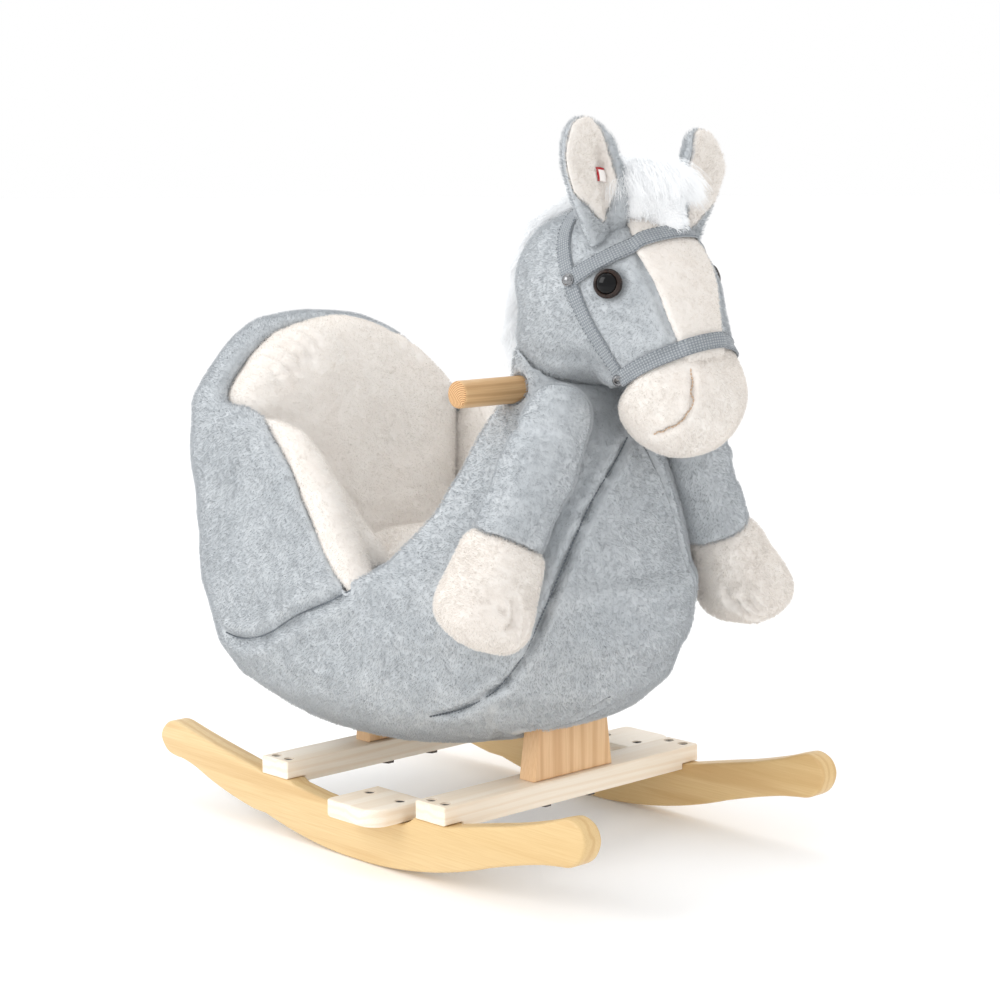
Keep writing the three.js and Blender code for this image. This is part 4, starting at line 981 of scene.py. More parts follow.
# the stuffed pads are blown up as covers by the cloth solver, held where they are sewn down
puff(BP, lambda v: np.clip((np.interp(v[:, 2], PAD_BACK[:, 0], (PAD_BACK[:, 1] + PAD_BACK[:, 2]) / 2) - v[:, 0]) / 12 + 0.5, 0, 1), 3.5, 14, 7)
puff(CU, lambda v: np.clip((224 - v[:, 2]) / 12, 0, 1), 3.0, 12, 5)
for side in ("right", "left"):
    puff(WPS[side], lambda v: np.clip((np.abs(v[:, 1]) - 128) / 8, 0, 1), 2.5, 12, 4)
print("puffed", PUFF_LOG, flush=True)
soften(BP, 1.5, 40, 8)
soften(CU, 1.2, 34, 9)
# gathers at the top left edge of the back pad, where the cover is pulled in
for i, (y, L) in enumerate(((-92, 22), (-80, 30), (-68, 24), (-55, 32), (-42, 20), (60, 18), (76, 22))):
    zc = 338 + 94 * max(0, 1 - (abs(y) / 146) ** 2.05) ** 0.9
    a = (-186, y * 1.02, zc - 2)
    b = (-172, y * 0.93 + 5, zc - L)
    groove(BP, on_surface(BP, [a, ((a[0] + b[0]) / 2, (a[1] + b[1]) / 2, (a[2] + b[2]) / 2), b]), 3.4, 3.0, 1.0, 0.4, 30 + i, 6)
for side in ("right", "left"):
    soften(WPS[side], 0.9, 30, 10)
for o in (BP, CU, WPS["right"], WPS["left"]):
    subdivide(o)

# ------------------------------------------------------------------ forelegs and hooves
LEGS, HOOVES = {}, {}
for side, s in (("right", -1), ("left", 1)):
    a, b = np.array(SHOULDER[side], float), np.array(CUFF[side], float)
    lo = np.minimum(np.minimum(a, b), b + (b - a) * 0.78) - 54
    hi = np.maximum(np.maximum(a, b), b + (b - a) * 0.78) + 54
    g = Grid(lo, hi, 2.6)
    fl_, fh_ = leg_field(g, side), hoof_field(g, side)
    fl_ = np.maximum(fl_, -(fh_ - 0.5))
    cheek = smin(g.ell((162, 0, 470), (92, 68, 70), 0.12), g.ell((132, 0, 432), (58, 60, 46)), 10)
    cheek = smin(smin(cheek, g.ell((200, 0, 448), (60, 59, 62), 0.3), 10), g.ell((219, 0, 420), (52, 52.5, 54)), 10) + 2.4
    fl_ = np.maximum(fl_, -(smax(cheek, 393 - g.Z, 12) - 1.5))
    bodyname = "foreleg_" + side
    LEGS[side] = piece("foreleg_%s_plush" % side, g, fl_, GREY, bodyname, ["foreleg_" + side], 1)
    HOOVES[side] = piece("hoof_%s_plush" % side, g, fh_, CREAM, bodyname, ["hoof_" + side], 1)
    d = (b - a) / np.linalg.norm(b - a)
    puff(HOOVES[side], lambda v: np.clip(1 - ((v - b) @ d) / 16, 0, 1), 2.5, 10, 3)
    sd = np.array([1, 0, 0]) - d * d[0]
    sd /= np.linalg.norm(sd)
    fr = np.cross(sd, d)
    out = fr if fr[1] * s > 0 else -fr
    # creases of the sleeve, and the pinch in the front of the hoof
    L = LEGS[side]
    soften(L, 1.2, 26, 12)
    for i, (t, w, dep) in enumerate(((0.24, 22, 2.2), (0.42, 26, 1.6), (0.66, 24, 1.5))):
        c = a + (b - a) * t
        ln = [c + (-sd * math.cos(q_) + np.array([0.75, -0.6 * -s, 0.1]) * math.sin(q_) + d * 0.25 * math.cos(q_)) * 33 for q_ in np.linspace(0.5, 1.9, 5)]
        groove(L, on_surface(L, ln, 4), dep, 3.6, 0.6, 0.5, 40 + i, 12)
    Hf = HOOVES[side]
    soften(Hf, 1.3, 22, 13)
    front = sd * 0.72 - out * 0.0
    pinches = {
        "right": [[(187, -141, 244), (189.3, -138.7, 232), (189.3, -140, 224), (187.2, -149.4, 216.9)], [(191, -126, 226), (190, -128, 215), (186, -131, 205)], [(184, -152, 236), (188, -144, 230)]],
        "left": [[(193, 99, 219), (195, 101, 210), (200, 106, 202)], [(196, 101, 207), (206, 113, 197), (212, 133, 191)], [(208, 106, 214), (214, 114, 206), (218, 122, 196)]],
    }[side]
    for i, ln in enumerate(pinches):
        groove(Hf, on_surface(Hf, ln, 4), 5.0, 2.6, 1.6, 0.3, 50 + i, 6)
    subdivide(L)
    subdivide(Hf)
print("legs", flush=True)

# ------------------------------------------------------------------ head, muzzle, blaze
GH = Grid((62, -84, 330), (298, 84, 556), 2.4)
hs = smin(GH.ell((162, 0, 470), (92, 68, 70), 0.12), GH.ell((200, 0, 448), (60, 59, 62), 0.3), 10)
hs = smin(hs, GH.ell((219, 0, 420), (52, 52.5, 54)), 10)
hs = smin(hs, GH.ell((132, 0, 432), (58, 60, 46)), 10)
mz = GH.ell((233, 0, 392), (51, 52, 49.5), 0.4)
skull = smin(hs, mz, 6)
plane = 0.68 * GH.X - 0.733 * GH.Z + 142
plane = plane + 0 * GH.Y
skull = skull + 2.4
mz = mz + 1.6
gh_front = GH.plan(FRONT)
gh_muz = mz
headf = smax(skull, plane + 0.4, 5)
headf = np.maximum(headf, -(mz - 1.2))
headf = smax(headf, 393 - GH.Z, 12)
muzf = smax(smin(mz, np.maximum(skull, -plane - 0.0), 4), -plane - 2.0, 9)
bl = poly_sdf(GH.Y[0], GH.Z[0], [(-26, 527), (-33, 515), (-39, 504), (-38.5, 488), (-37, 473), (-34.5, 455), (-31.6, 437), (-28, 415), (8, 415), (9, 437), (14, 455), (18, 472), (21, 490), (22, 504), (20, 515), (18, 527)]).astype(np.float32)
bl = bl.reshape((1,) + bl.shape) if bl.ndim == 2 else bl
earm = {}
HEAD = piece("head_plush", GH, np.maximum(headf, -smax(np.abs(skull) - 1.2, np.maximum(bl + 0.2, 190 - GH.X), 1)), GREY, ROOT, ["head"], 2)
MUZ = piece("muzzle_plush", GH, muzf, CREAM, ROOT, ["muzzle"], 1)
GB = Grid((186, -42, 408), (284, 42, 534), 1.5)
sk = smin(smin(smin(GB.ell((162, 0, 470), (92, 68, 70), 0.12), GB.ell((200, 0, 448), (60, 59, 62), 0.3), 10), GB.ell((219, 0, 420), (52, 52.5, 54)), 10), GB.ell((132, 0, 432), (58, 60, 46)), 10)
bl2 = poly_sdf(GB.Y[0], GB.Z[0], [(-26, 527), (-33, 515), (-39, 504), (-38.5, 488), (-37, 473), (-34.5, 455), (-31.6, 437), (-28, 415), (8, 415), (9, 437), (14, 455), (18, 472), (21, 490), (22, 504), (20, 515), (18, 527)]).astype(np.float32)
bl2 = bl2.reshape((1,) + bl2.shape[-2:])
bf = smax(smax(np.abs(sk + 1.0) - 2.1, bl2 + 0.4, 2.5), 190 - GB.X, 1)
BLAZE = piece("blaze_plush", GB, bf, CREAM, ROOT, ["blaze"], 1)
soften(HEAD, 1.1, 40, 15)
soften(MUZ, 0.9, 36, 16)
SEAM_M = on_surface(MUZ, [(268, -27.7, 415.1), (272.9, -30.7, 395.8), (268.4, -33.3, 378.2), (251.6, -39.6, 365.9), (237.6, -40.1, 361.0)])
groove(MUZ, SEAM_M, 3.6, 2.3, 0.9, 0.3, 17, 12)
# crease where the cheek folds over the chest, and the throat
groove(HEAD, on_surface(HEAD, [(120, -58, 424), (150, -62, 414), (180, -60, 408), (206, -52, 396)]), 1.6, 6, 0.6, 0.6, 18, 16)
for pts_ in ([(223, -40, 506), (239, -38, 473), (256, -33, 437)], [(230, 23, 504), (246, 19, 473), (264, 10, 437)]):
    groove(HEAD, on_surface(HEAD, pts_), 1.8, 2.6, 0.5, 0.4, 19, 8)
SK_BVH = None


def tree(*objs):
    vs, fs = [], []
    for o in objs:
        k = len(vs)
        vs += [v.co.copy() for v in o.data.vertices]
        fs += [tuple(i + k for i in p.vertices) for p in o.data.polygons]
    return BVHTree.FromPolygons(vs, fs)


# eye sockets: the head is drawn in a little round each eye
for s in (-1, 1):
    c = np.array([211, s * 59.5, 478.0])
    v, n = coords_mm(HEAD), normals(HEAD)
    d = np.linalg.norm(v - c, axis=1)
    set_mm(HEAD, v - n * (3.4 * np.exp(-((d / 12.5) ** 4)) - 1.3 * np.exp(-(((d - 18) / 5) ** 2)))[:, None])
print("head", flush=True)

# ------------------------------------------------------------------ ears
LEAF = catmull([(-9, 0), (-17, 24), (-26, 50), (-29, 74), (-19, 93), (-4, 100), (11, 95), (22, 77), (28, 50), (27, 24), (20, 0)], 6)
EARS, LININGS = {}, {}


def ear_place(side):
    s = -1 if side == "right" else 1
    R = rot("z", s * 0.1) @ rot("y", -0.03) @ rot("x", -s * 0.17)
    return R, np.array([194, s * 49.0 + (2.5 if s > 0 else 1.0), 506.0 - (8 if s > 0 else 0)]), s


for side in ("right", "left"):
    R, T, s = ear_place(side)
    leaf = LEAF.copy()
    if side == "left":
        leaf[:, 0] *= -1
        leaf = leaf[::-1]
    g = Grid((-20, -40, -8), (20, 40, 110), 1.5)
    m2 = poly_sdf(g.Y[0], g.Z[0], leaf)
    m2 = m2.reshape((1,) + m2.shape[-2:]).astype(np.float32)
    yc = g.Y * 1.0
    ci = -s * yc
    # the fold line runs up from the base, off centre
    fold = np.exp(-(((ci - (9.5 - 0.03 * g.Z)) / 4.6) ** 2)) * np.clip((86 - g.Z) / 24, 0, 1) * np.clip((g.Z + 4) / 14, 0, 1)
    cup = -3.0 * fold + 6.0 * (yc / 28) ** 2 - 3.6 + 2.2 * (g.Z / 100) ** 2 + 4.5 * np.exp(-(((-s * yc - 21) / 8) ** 2)) * np.clip((g.Z - 8) / 20, 0, 1)
    half = 5.2 * (1 - np.exp(np.minimum(m2, 0) / 5.0)) ** 0.5 + 0.6
    ear = smax(np.abs(g.X - cup) - half, m2, 4)
    ins = m2 + 0.6 + (8.5 if side == "right" else 3.0) * np.clip((ci - 3) / 14, 0, 1) ** 1.2 + 15.0 * np.clip((46 - g.Z) / 28, 0, 1) + 0.7 * np.sin(g.Z / 9.0 + g.Y / 13.0)
    lin_x = cup + 4.0 - 1.2 * fold
    lin_h = 2.6 * (1 - np.exp(np.minimum(ins, 0) / 4.0)) ** 0.5 + 0.4
    lining = smax(np.abs(g.X - lin_x) - lin_h, ins, 2.5)
    if side == "right":
        ear = np.maximum(ear, -np.maximum(np.hypot(g.Y, g.Z - 36) - 7.6, np.abs(g.X + 1.6) - 5.0))
    ear = smax(ear, -np.maximum(lin_x - 0.5 - g.X, ins + 0.8), 0.8)
    ear = np.maximum(ear, -(lining - 0.3))
    for kind, f, mat, slot_, store in (("ear", ear, GREY, "grey_plush", EARS), ("ear_lining", lining, CREAM, "cream_plush", LININGS)):
        v, faces = largest(*skin(g, f))
        v = v @ R.T + T
        o = make_mesh("%s_%s_plush" % (kind, side), v, faces, mat)
        relax(o, 1)
        soften(o, 0.8, 18, 20 + s)
        declare(o, ROOT, ["%s_%s" % (kind, side)])
        store[side] = o
print("ears", flush=True)

# ------------------------------------------------------------------ long fur: mane, forelock, tail as locks
def locks(name, nodes, spine, count, length, width, seed, spread, drop, core, rootline=None, curl=0.5, h=2.0, bounds=None):
    """A tuft of tapered locks joined with its core into one field; returns the grid, the field and each lock's line."""
    rng = np.random.default_rng(seed)
    lines_ = []
    for i in range(count):
        t = (i + rng.random()) / count if rootline is None else rng.random()
        p, out, down = spread(t, rng)
        L = length * (0.72 + 0.45 * rng.random())
        n = 5
        pts = [p]
        dirv = out / np.linalg.norm(out)
        for k in range(n):
            dirv = dirv + down * drop * (k + 0.6) / n + rng.normal(size=3) * 0.14 * curl
            dirv = dirv / np.linalg.norm(dirv)
            pts.append(pts[-1] + dirv * L / n)
        lines_.append(np.array(pts))
    allp = np.concatenate(lines_)
    lo, hi = allp.min(0) - 12, allp.max(0) + 12
    for a, b, ra, rb in core:
        lo, hi = np.minimum(lo, np.minimum(a, b) - max(ra, rb) - 8), np.maximum(hi, np.maximum(a, b) + max(ra, rb) + 8)
    g = Grid(lo, hi, h)
    F = np.full(tuple(g.n), 30.0, np.float32)
    for a, b, ra, rb in core:
        stamp(g, F, a, b, ra, rb, 4)
    for ln in lines_:
        for k in range(len(ln) - 1):
            t0, t1 = k / (len(ln) - 1), (k + 1) / (len(ln) - 1)
            w = lambda t: width * (0.75 + 0.5 * math.sin(math.pi * min(1, t * 1.3))) * (1 - 0.72 * t)
            stamp(g, F, ln[k], ln[k + 1], w(t0), w(t1), 1.3)
    return g, F, lines_


def fur_strands(fur, lines_, per, rng, r0=0.2, spread=4.0, grow=1.12):
    K = 7
    P, R = [], []
    for ln in lines_:
        m = len(ln)
        t = np.linspace(0, m - 1.001, K)
        i = t.astype(int)
        f = (t - i)[:, None]
        base = ln[i] * (1 - f) + ln[np.minimum(i + 1, m - 1)] * f
        d = base[1:] - base[:-1]
        off = rng.normal(size=(per, 1, 3)) * spread * 0.75
        tip = rng.normal(size=(per, 1, 3)) * spread * 0.85
        u = np.linspace(0, 1, K)[None, :, None]
        wav = rng.normal(size=(per, 1, 3)) * 0.7 * np.sin(np.linspace(0, 5, K))[None, :, None]
        L = (grow * (0.8 + 0.3 * rng.random((per, 1, 1))))
        s = ln[0][None, None, :] + (base[None] - ln[0]) * L + off * (0.6 + 0.5 * np.sin(np.pi * u)) + tip * u + wav
        P.append(s)
        R.append(r0 * np.array([1, 1, 0.95, 0.85, 0.7, 0.45, 0.12])[None, :] * (0.8 + 0.4 * rng.random((per, 1))))
    fur.add(np.concatenate(P), np.concatenate(R))


LONG = {}
MANE_C = catmull([(150, 0, 545), (122, 0, 541), (96, 0, 527), (78, 0, 503), (67, 0, 472), (62, 0, 444), (68, 0, 416)], 8)


def mane_spread(t, rng):
    i = min(int(t * (len(MANE_C) - 1)), len(MANE_C) - 2)
    c = MANE_C[i]
    tan = MANE_C[i + 1] - MANE_C[i]
    tan /= np.linalg.norm(tan)
    nrm = np.array([tan[2], 0, -tan[0]])
    if nrm @ (c - np.array([162, 0, 470])) < 0:
        nrm = -nrm
    a = rng.uniform(-1.25, 1.25)
    p = c - nrm * 7 + np.array([0, 1, 0]) * 13 * math.sin(a) + nrm * 6 * math.cos(a)
    out = nrm * (0.55 * math.cos(a)) + np.array([0, 0.95, 0]) * math.sin(a) + tan * 0.75
    return p, out, np.array([0.12, 0, -0.55]) + tan * 0.4


core = [(MANE_C[i] - 0, MANE_C[i + 1], 9.5 * min(1, (i + 3) / 8), 9.5 * min(1, (i + 4) / 8)) for i in range(0, len(MANE_C) - 1, 1)]
g, F, ML = locks("mane", ["mane"], None, 150, 27, 3.6, 71, mane_spread, 0.5, core)
F = np.maximum(F, -(g.ell((162, 0, 470), (91, 67, 69), 0.12)))
F = np.maximum(F, -(g.ell((132, 0, 432), (57, 59, 45))))
MANE = piece("mane_fur", g, F, WHITE, ROOT, ["mane"], 1)


def fore_spread(t, rng):
    a = rng.uniform(0, 2 * math.pi)
    r = math.sqrt(rng.random())
    # seen from above: roots on the crown between the ears, parted in the middle, falling forward and to both sides
    p = np.array([187 + 18 * r * math.cos(a), -3 + 18 * r * math.sin(a), 556 - 7 * r * r])
    side = 1 if p[1] > 0 else -1
    out = np.array([0.5 + 0.4 * rng.random(), side * (0.15 + 0.4 * rng.random()), 0.95 + 0.6 * rng.random()])
    if rng.random() < 0.3:
        out = np.array([-0.4 - 0.3 * rng.random(), side * 0.5, 0.8])
    return p, out, np.array([0.55, side * 0.14, -1.25])


core = [(np.array([178, -2, 546.0]), np.array([206, -2, 546.0]), 19, 20), (np.array([196, -12, 540.0]), np.array([196, 8, 540.0]), 19, 18), (np.array([208, -1, 541.0]), np.array([221, -1, 521.0]), 16, 11)]
g, F, FL = locks("forelock", ["forelock"], None, 140, 41, 3.8, 72, fore_spread, 0.98, core)
F = np.maximum(F, -(g.ell((162, 0, 470), (91.5, 67.5, 69.5), 0.12)))
FORE = piece("forelock_fur", g, F, WHITE, ROOT, ["forelock"], 1)
TAIL_C = catmull([(-258, 0, 318), (-272, 0, 313), (-279, 0, 292), (-278, 0, 262), (-274, 0, 232), (-270, 0, 206)], 6)


def tail_spread(t, rng):
    t = t * 0.72
    i = min(int(t * (len(TAIL_C) - 1)), len(TAIL_C) - 2)
    c = TAIL_C[i]
    tan = TAIL_C[i + 1] - c
    tan /= np.linalg.norm(tan)
    a = rng.uniform(0, 2 * math.pi)
    out = np.array([-0.2 * abs(math.cos(a)) - 0.02, 0.32 * math.sin(a), 0]) + tan * 1.0
    return c + np.array([-3 * abs(math.cos(a)), 7 * math.sin(a), 0]), out, np.array([0.02, 0, -0.6])


core = [(TAIL_C[i], TAIL_C[i + 1], 5 + 6 * math.sin(math.pi * i / (len(TAIL_C) - 1)) ** 0.7, 5 + 6 * math.sin(math.pi * (i + 1) / (len(TAIL_C) - 1)) ** 0.7) for i in range(len(TAIL_C) - 1)]
g, F, TL = locks("tail", ["tail"], None, 60, 46, 3.6, 73, tail_spread, 0.5, core)
F = np.maximum(F, g.X + 259)
TAIL = piece("tail_fur", g, F, WHITE, ROOT, ["tail"], 1)
print("fur", flush=True)

# ------------------------------------------------------------------ bridle webbing
STRAP_PATHS = {
    "browband": ([(176, -66, 480), (192, -60, 490), (208, -48, 500), (219, -30, 508), (226, -12, 512), (226, 12, 512), (219, 30, 508), (208, 48, 500), (192, 60, 490), (176, 66, 480)], 13.6, 2.2),
    "noseband": ([(214, -50, 404), (226, -46, 411), (240, -36, 420), (252, -20, 428), (257, -6, 431), (257, 6, 431), (252, 20, 428), (240, 36, 420), (226, 46, 411), (214, 50, 404)], 12.6, 2.4),
    "headstall": ([(212, -50, 408), (200, -59, 428), (188, -65, 452), (176, -67, 480), (164, -62, 502), (152, -46, 524), (146, -22, 537), (144, 0, 541), (146, 22, 537), (152, 46, 524), (164, 62, 502), (176, 67, 480), (188, 65, 452), (200, 59, 428), (212, 50, 408)], 12.6, 0.8),
}
CENTRE = np.array([162, 0, 462.0])
HB = tree(HEAD, BLAZE, MUZ)
STRAP_LINES = []


SKG = np.gradient(skull, GH.h)


def sample(f, p):
    u = (p - GH.lo) / GH.h
    i = np.clip(np.floor(u).astype(int), 0, np.array(f.shape) - 2)
    t = np.clip(u - i, 0, 1)
    out = 0
    for dx in (0, 1):
        for dy in (0, 1):
            for dz in (0, 1):
                w = (t[:, 0] if dx else 1 - t[:, 0]) * (t[:, 1] if dy else 1 - t[:, 1]) * (t[:, 2] if dz else 1 - t[:, 2])
                out = out + w * f[i[:, 0] + dx, i[:, 1] + dy, i[:, 2] + dz]
    return out


def to_skull(p):
    """Moves points on to the smooth head under the webbing, and gives the way out of it."""
    p = np.array(p, float)
    for _ in range(14):
        n = np.stack([sample(g_, p) for g_ in SKG], 1)
        n /= np.maximum(np.linalg.norm(n, axis=1), 1e-6)[:, None]
        p = p - n * np.clip(sample(skull, p), -4, 4)[:, None] * 0.8
    return p, n


def strap(name, pts, width, lift):
    P = catmull(pts, 10)
    q, nq = to_skull(P)
    for _ in range(14):
        nq[1:-1] = 0.5 * nq[1:-1] + 0.25 * (nq[:-2] + nq[2:])
    for _ in range(6):
        q[1:-1] = 0.5 * q[1:-1] + 0.25 * (q[:-2] + q[2:])
    seg = np.r_[0, np.cumsum(np.linalg.norm(np.diff(q, axis=0), axis=1))]
    L = seg[-1]
    STRAP_LINES.append((q, width))
    n = int(L / 0.62)
    s = np.linspace(0, L, n)
    c = np.stack([np.interp(s, seg, q[:, k]) for k in range(3)], 1)
    for _ in range(12):
        c[1:-1] = 0.5 * c[1:-1] + 0.25 * (c[:-2] + c[2:])
    t = np.gradient(c, axis=0)
    t /= np.linalg.norm(t, axis=1)[:, None]
    nr = np.stack([np.interp(s, seg, nq[:, k]) for k in range(3)], 1)
    for _ in range(40):
        nr[1:-1] = 0.5 * nr[1:-1] + 0.25 * (nr[:-2] + nr[2:])
    nr -= t * np.einsum("ij,ij->i", nr, t)[:, None]
    nr /= np.linalg.norm(nr, axis=1)[:, None]
    b = np.cross(nr, t)
    cols = 15
    w = np.linspace(-width / 2, width / 2, cols)
    top = np.zeros((n, cols, 3))
    nor = np.zeros((n, cols, 3))
    for j in range(cols):
        for i in range(n):
            p = c[i] + b[i] * w[j]
            hit = HB.ray_cast(Vector(row(p + nr[i] * 30)), Vector(-nr[i]))
            if hit[0] is not None:
                top[i, j] = np.array(hit[0]) * 1000 - np.array([SX, 0, 0])
            else:
                top[i, j] = p
    # the strap bridges the hollows of what lies under it
    h = np.einsum("ijk,ik->ij", top - c[:, None, :], nr)
    h = np.clip(np.maximum(h, h.mean(1)[:, None] - 1.2), -1.5, 5)
    for _ in range(25):
        h[1:-1] = 0.5 * h[1:-1] + 0.25 * (h[:-2] + h[2:])
    for _ in range(2):
        h[:, 1:-1] = 0.5 * h[:, 1:-1] + 0.25 * (h[:, :-2] + h[:, 2:])
    edge = np.clip((1 - np.abs(w) / (width / 2)) * 7, 0, 1) ** 0.5
    rib = 0.30 * np.abs(np.sin(np.pi * s[:, None] / 1.9 + 0.5 * np.sin(np.pi * w[None, :] / 3.0))) + 0.16 * np.cos(2 * np.pi * w[None, :] / 2.3) * np.cos(2 * np.pi * s[:, None] / 2.1)
    base = c[:, None, :] + b[:, None, :] * w[None, :, None] + nr[:, None, :] * (h + lift)[:, :, None]
    upper = base + nr[:, None, :] * (0.45 + edge[None, :] * 0.75 + rib * edge[None, :])[:, :, None]
    lower = base - nr[:, None, :] * (0.35 * edge[None, :] + 0.0)[:, :, None]
    V = np.concatenate([upper.reshape(-1, 3), lower.reshape(-1, 3)])
    N0 = n * cols
    F_ = []
    for i in range(n - 1):
        for j in range(cols - 1):
            a = i * cols + j
            F_.append((a, a + 1, a + cols + 1, a + cols))
            F_.append((N0 + a, N0 + a + cols, N0 + a + cols + 1, N0 + a + 1))
        a = i * cols
        F_.append((a, a + cols, N0 + a + cols, N0 + a))
        a = i * cols + cols - 1
        F_.append((a, N0 + a, N0 + a + cols, a + cols))
    for j in range(cols - 1):
        a = j
        F_.append((a, N0 + a, N0 + a + 1, a + 1))
        a = (n - 1) * cols + j
        F_.append((a, a + 1, N0 + a + 1, N0 + a))
    o = make_mesh(name + "_webbing", V, F_, WEB)
    bm = bmesh.new()
    bm.from_mesh(o.data)
    bmesh.ops.recalc_face_normals(bm, faces=bm.faces)
    bm.to_mesh(o.data)
    bm.free()
    o.data.polygons.foreach_set("use_smooth", [True] * len(o.data.polygons))
    uv = o.data.uv_layers.new(name="along")
    li = np.empty(len(o.data.loops), np.int32)
    o.data.loops.foreach_get("vertex_index", li)
    k = li % N0
    U = np.stack([s[k // cols] / 2.1, w[k % cols] / 2.3], 1)
    uv.data.foreach_set("uv", U.astype(np.float32).ravel())
    declare(o, ROOT, [name])
    # stitched edge line along both sides
    st = []
    for sg in (-1, 1):
        col = 1 if sg < 0 else cols - 2
        for i in range(3, n - 6, 6):
            st.append((upper[i, col] + nr[i] * 0.12, upper[min(i + 3, n - 1), col] + nr[i] * 0.12))
    stitches(name + "_stitching", st, 0.28, THREAD, o)
    return o, c, nr, t


def stitches(name, pairs, r, material, parent, body=ROOT):
    V, F_ = [], []
    for a, b in pairs:
        d = b - a
        L = np.linalg.norm(d)
        if L < 1e-6:
            continue
        d /= L
        u = np.cross(d, [0.31, 0.52, 0.79])
        u /= np.linalg.norm(u)
        w = np.cross(d, u)
        k = len(V)
        for e, rr in ((0.0, 0.35), (0.2, 1.0), (0.8, 1.0), (1.0, 0.35)):
            for i in range(6):
                t = i / 6 * 2 * math.pi
                V.append(a + d * L * e + (u * math.cos(t) + w * math.sin(t)) * r * rr)
        for m in range(3):
            for i in range(6):
                F_.append((k + m * 6 + i, k + m * 6 + (i + 1) % 6, k + m * 6 + 6 + (i + 1) % 6, k + m * 6 + 6 + i))
        F_.append(tuple(k + i for i in reversed(range(6))))
        F_.append(tuple(k + 18 + i for i in range(6)))
    o = make_mesh(name, np.array(V), F_, material)
    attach(o, body)
    return o


THREAD = plush_material("seam_thread", (110, 116, 122), (96, 102, 108), (124, 130, 136), 0.5)
THREAD_TAN = plush_material("seam_thread_tan", (205, 178, 152), (192, 162, 134), (216, 190, 166), 0.5)


def seam_thread(name, o, line, r, material):
    q = on_surface(o, line, 5)
    for _ in range(14):
        q[1:-1] = 0.5 * q[1:-1] + 0.25 * (q[:-2] + q[2:])
    seg = np.r_[0, np.cumsum(np.linalg.norm(np.diff(q, axis=0), axis=1))]
    s_ = np.arange(0, seg[-1], 3.1)
    c = np.stack([np.interp(s_, seg, q[:, k]) for k in range(3)], 1)
    return stitches(name, [(a, a + (b - a) * 0.86) for a, b in zip(c[:-1], c[1:])], r, material, ROOT)


for k_ in ("chest", "chest_far", "dart", "side"):
    seam_thread("seam_thread_" + k_, BODY, lines[k_][::6], 0.75, THREAD)
seam_thread("seam_thread_side_left", BODY, side_l[::6], 0.75, THREAD)
seam_thread("seam_thread_muzzle", MUZ, SEAM_M, 0.6, THREAD_TAN)

STR = {}
for k_, (pts, wd, lf) in STRAP_PATHS.items():
    STR[k_] = strap(k_, pts, wd, lf)
print("straps", flush=True)


# ------------------------------------------------------------------ turned and pressed small parts
def lathe(name, profile, c, n, material, body, nodes=(), seg=40, smooth=True, squash_to=None):
    c, n = np.array(c, float), np.array(n, float)
    n /= np.linalg.norm(n)
    u = np.cross(n, [0.1, 0.2, 0.97] if abs(n[2]) < 0.9 else [1, 0, 0])
    u /= np.linalg.norm(u)
    w = np.cross(n, u)
    V, F_ = [], []
    for r, h in profile:
        for i in range(seg):
            t = i / seg * 2 * math.pi
            V.append(c + n * h + (u * math.cos(t) + w * math.sin(t)) * max(r, 1e-3))
    for m in range(len(profile) - 1):
        for i in range(seg):
            F_.append((m * seg + i, m * seg + (i + 1) % seg, (m + 1) * seg + (i + 1) % seg, (m + 1) * seg + i))
    F_.append(tuple(reversed(range(seg))))
    k = (len(profile) - 1) * seg
    F_.append(tuple(k + i for i in range(seg)))
    o = make_mesh(name, np.array(V), F_, material, smooth)
    bm = bmesh.new()
    bm.from_mesh(o.data)
    bmesh.ops.recalc_face_normals(bm, faces=bm.faces)
    bm.to_mesh(o.data)
    bm.free()
    declare(o, body, nodes)
    return o


def arcs(r0, h0, r1, h1, n=6, bulge=1.0):
    """Quarter-round run of a lathe profile from (r0,h0) to (r1,h1)."""
    out = []
    for i in range(n + 1):
        t = i / n * math.pi / 2
        out.append((r1 + (r0 - r1) * math.cos(t), h0 + (h1 - h0) * math.sin(t)))
    return out


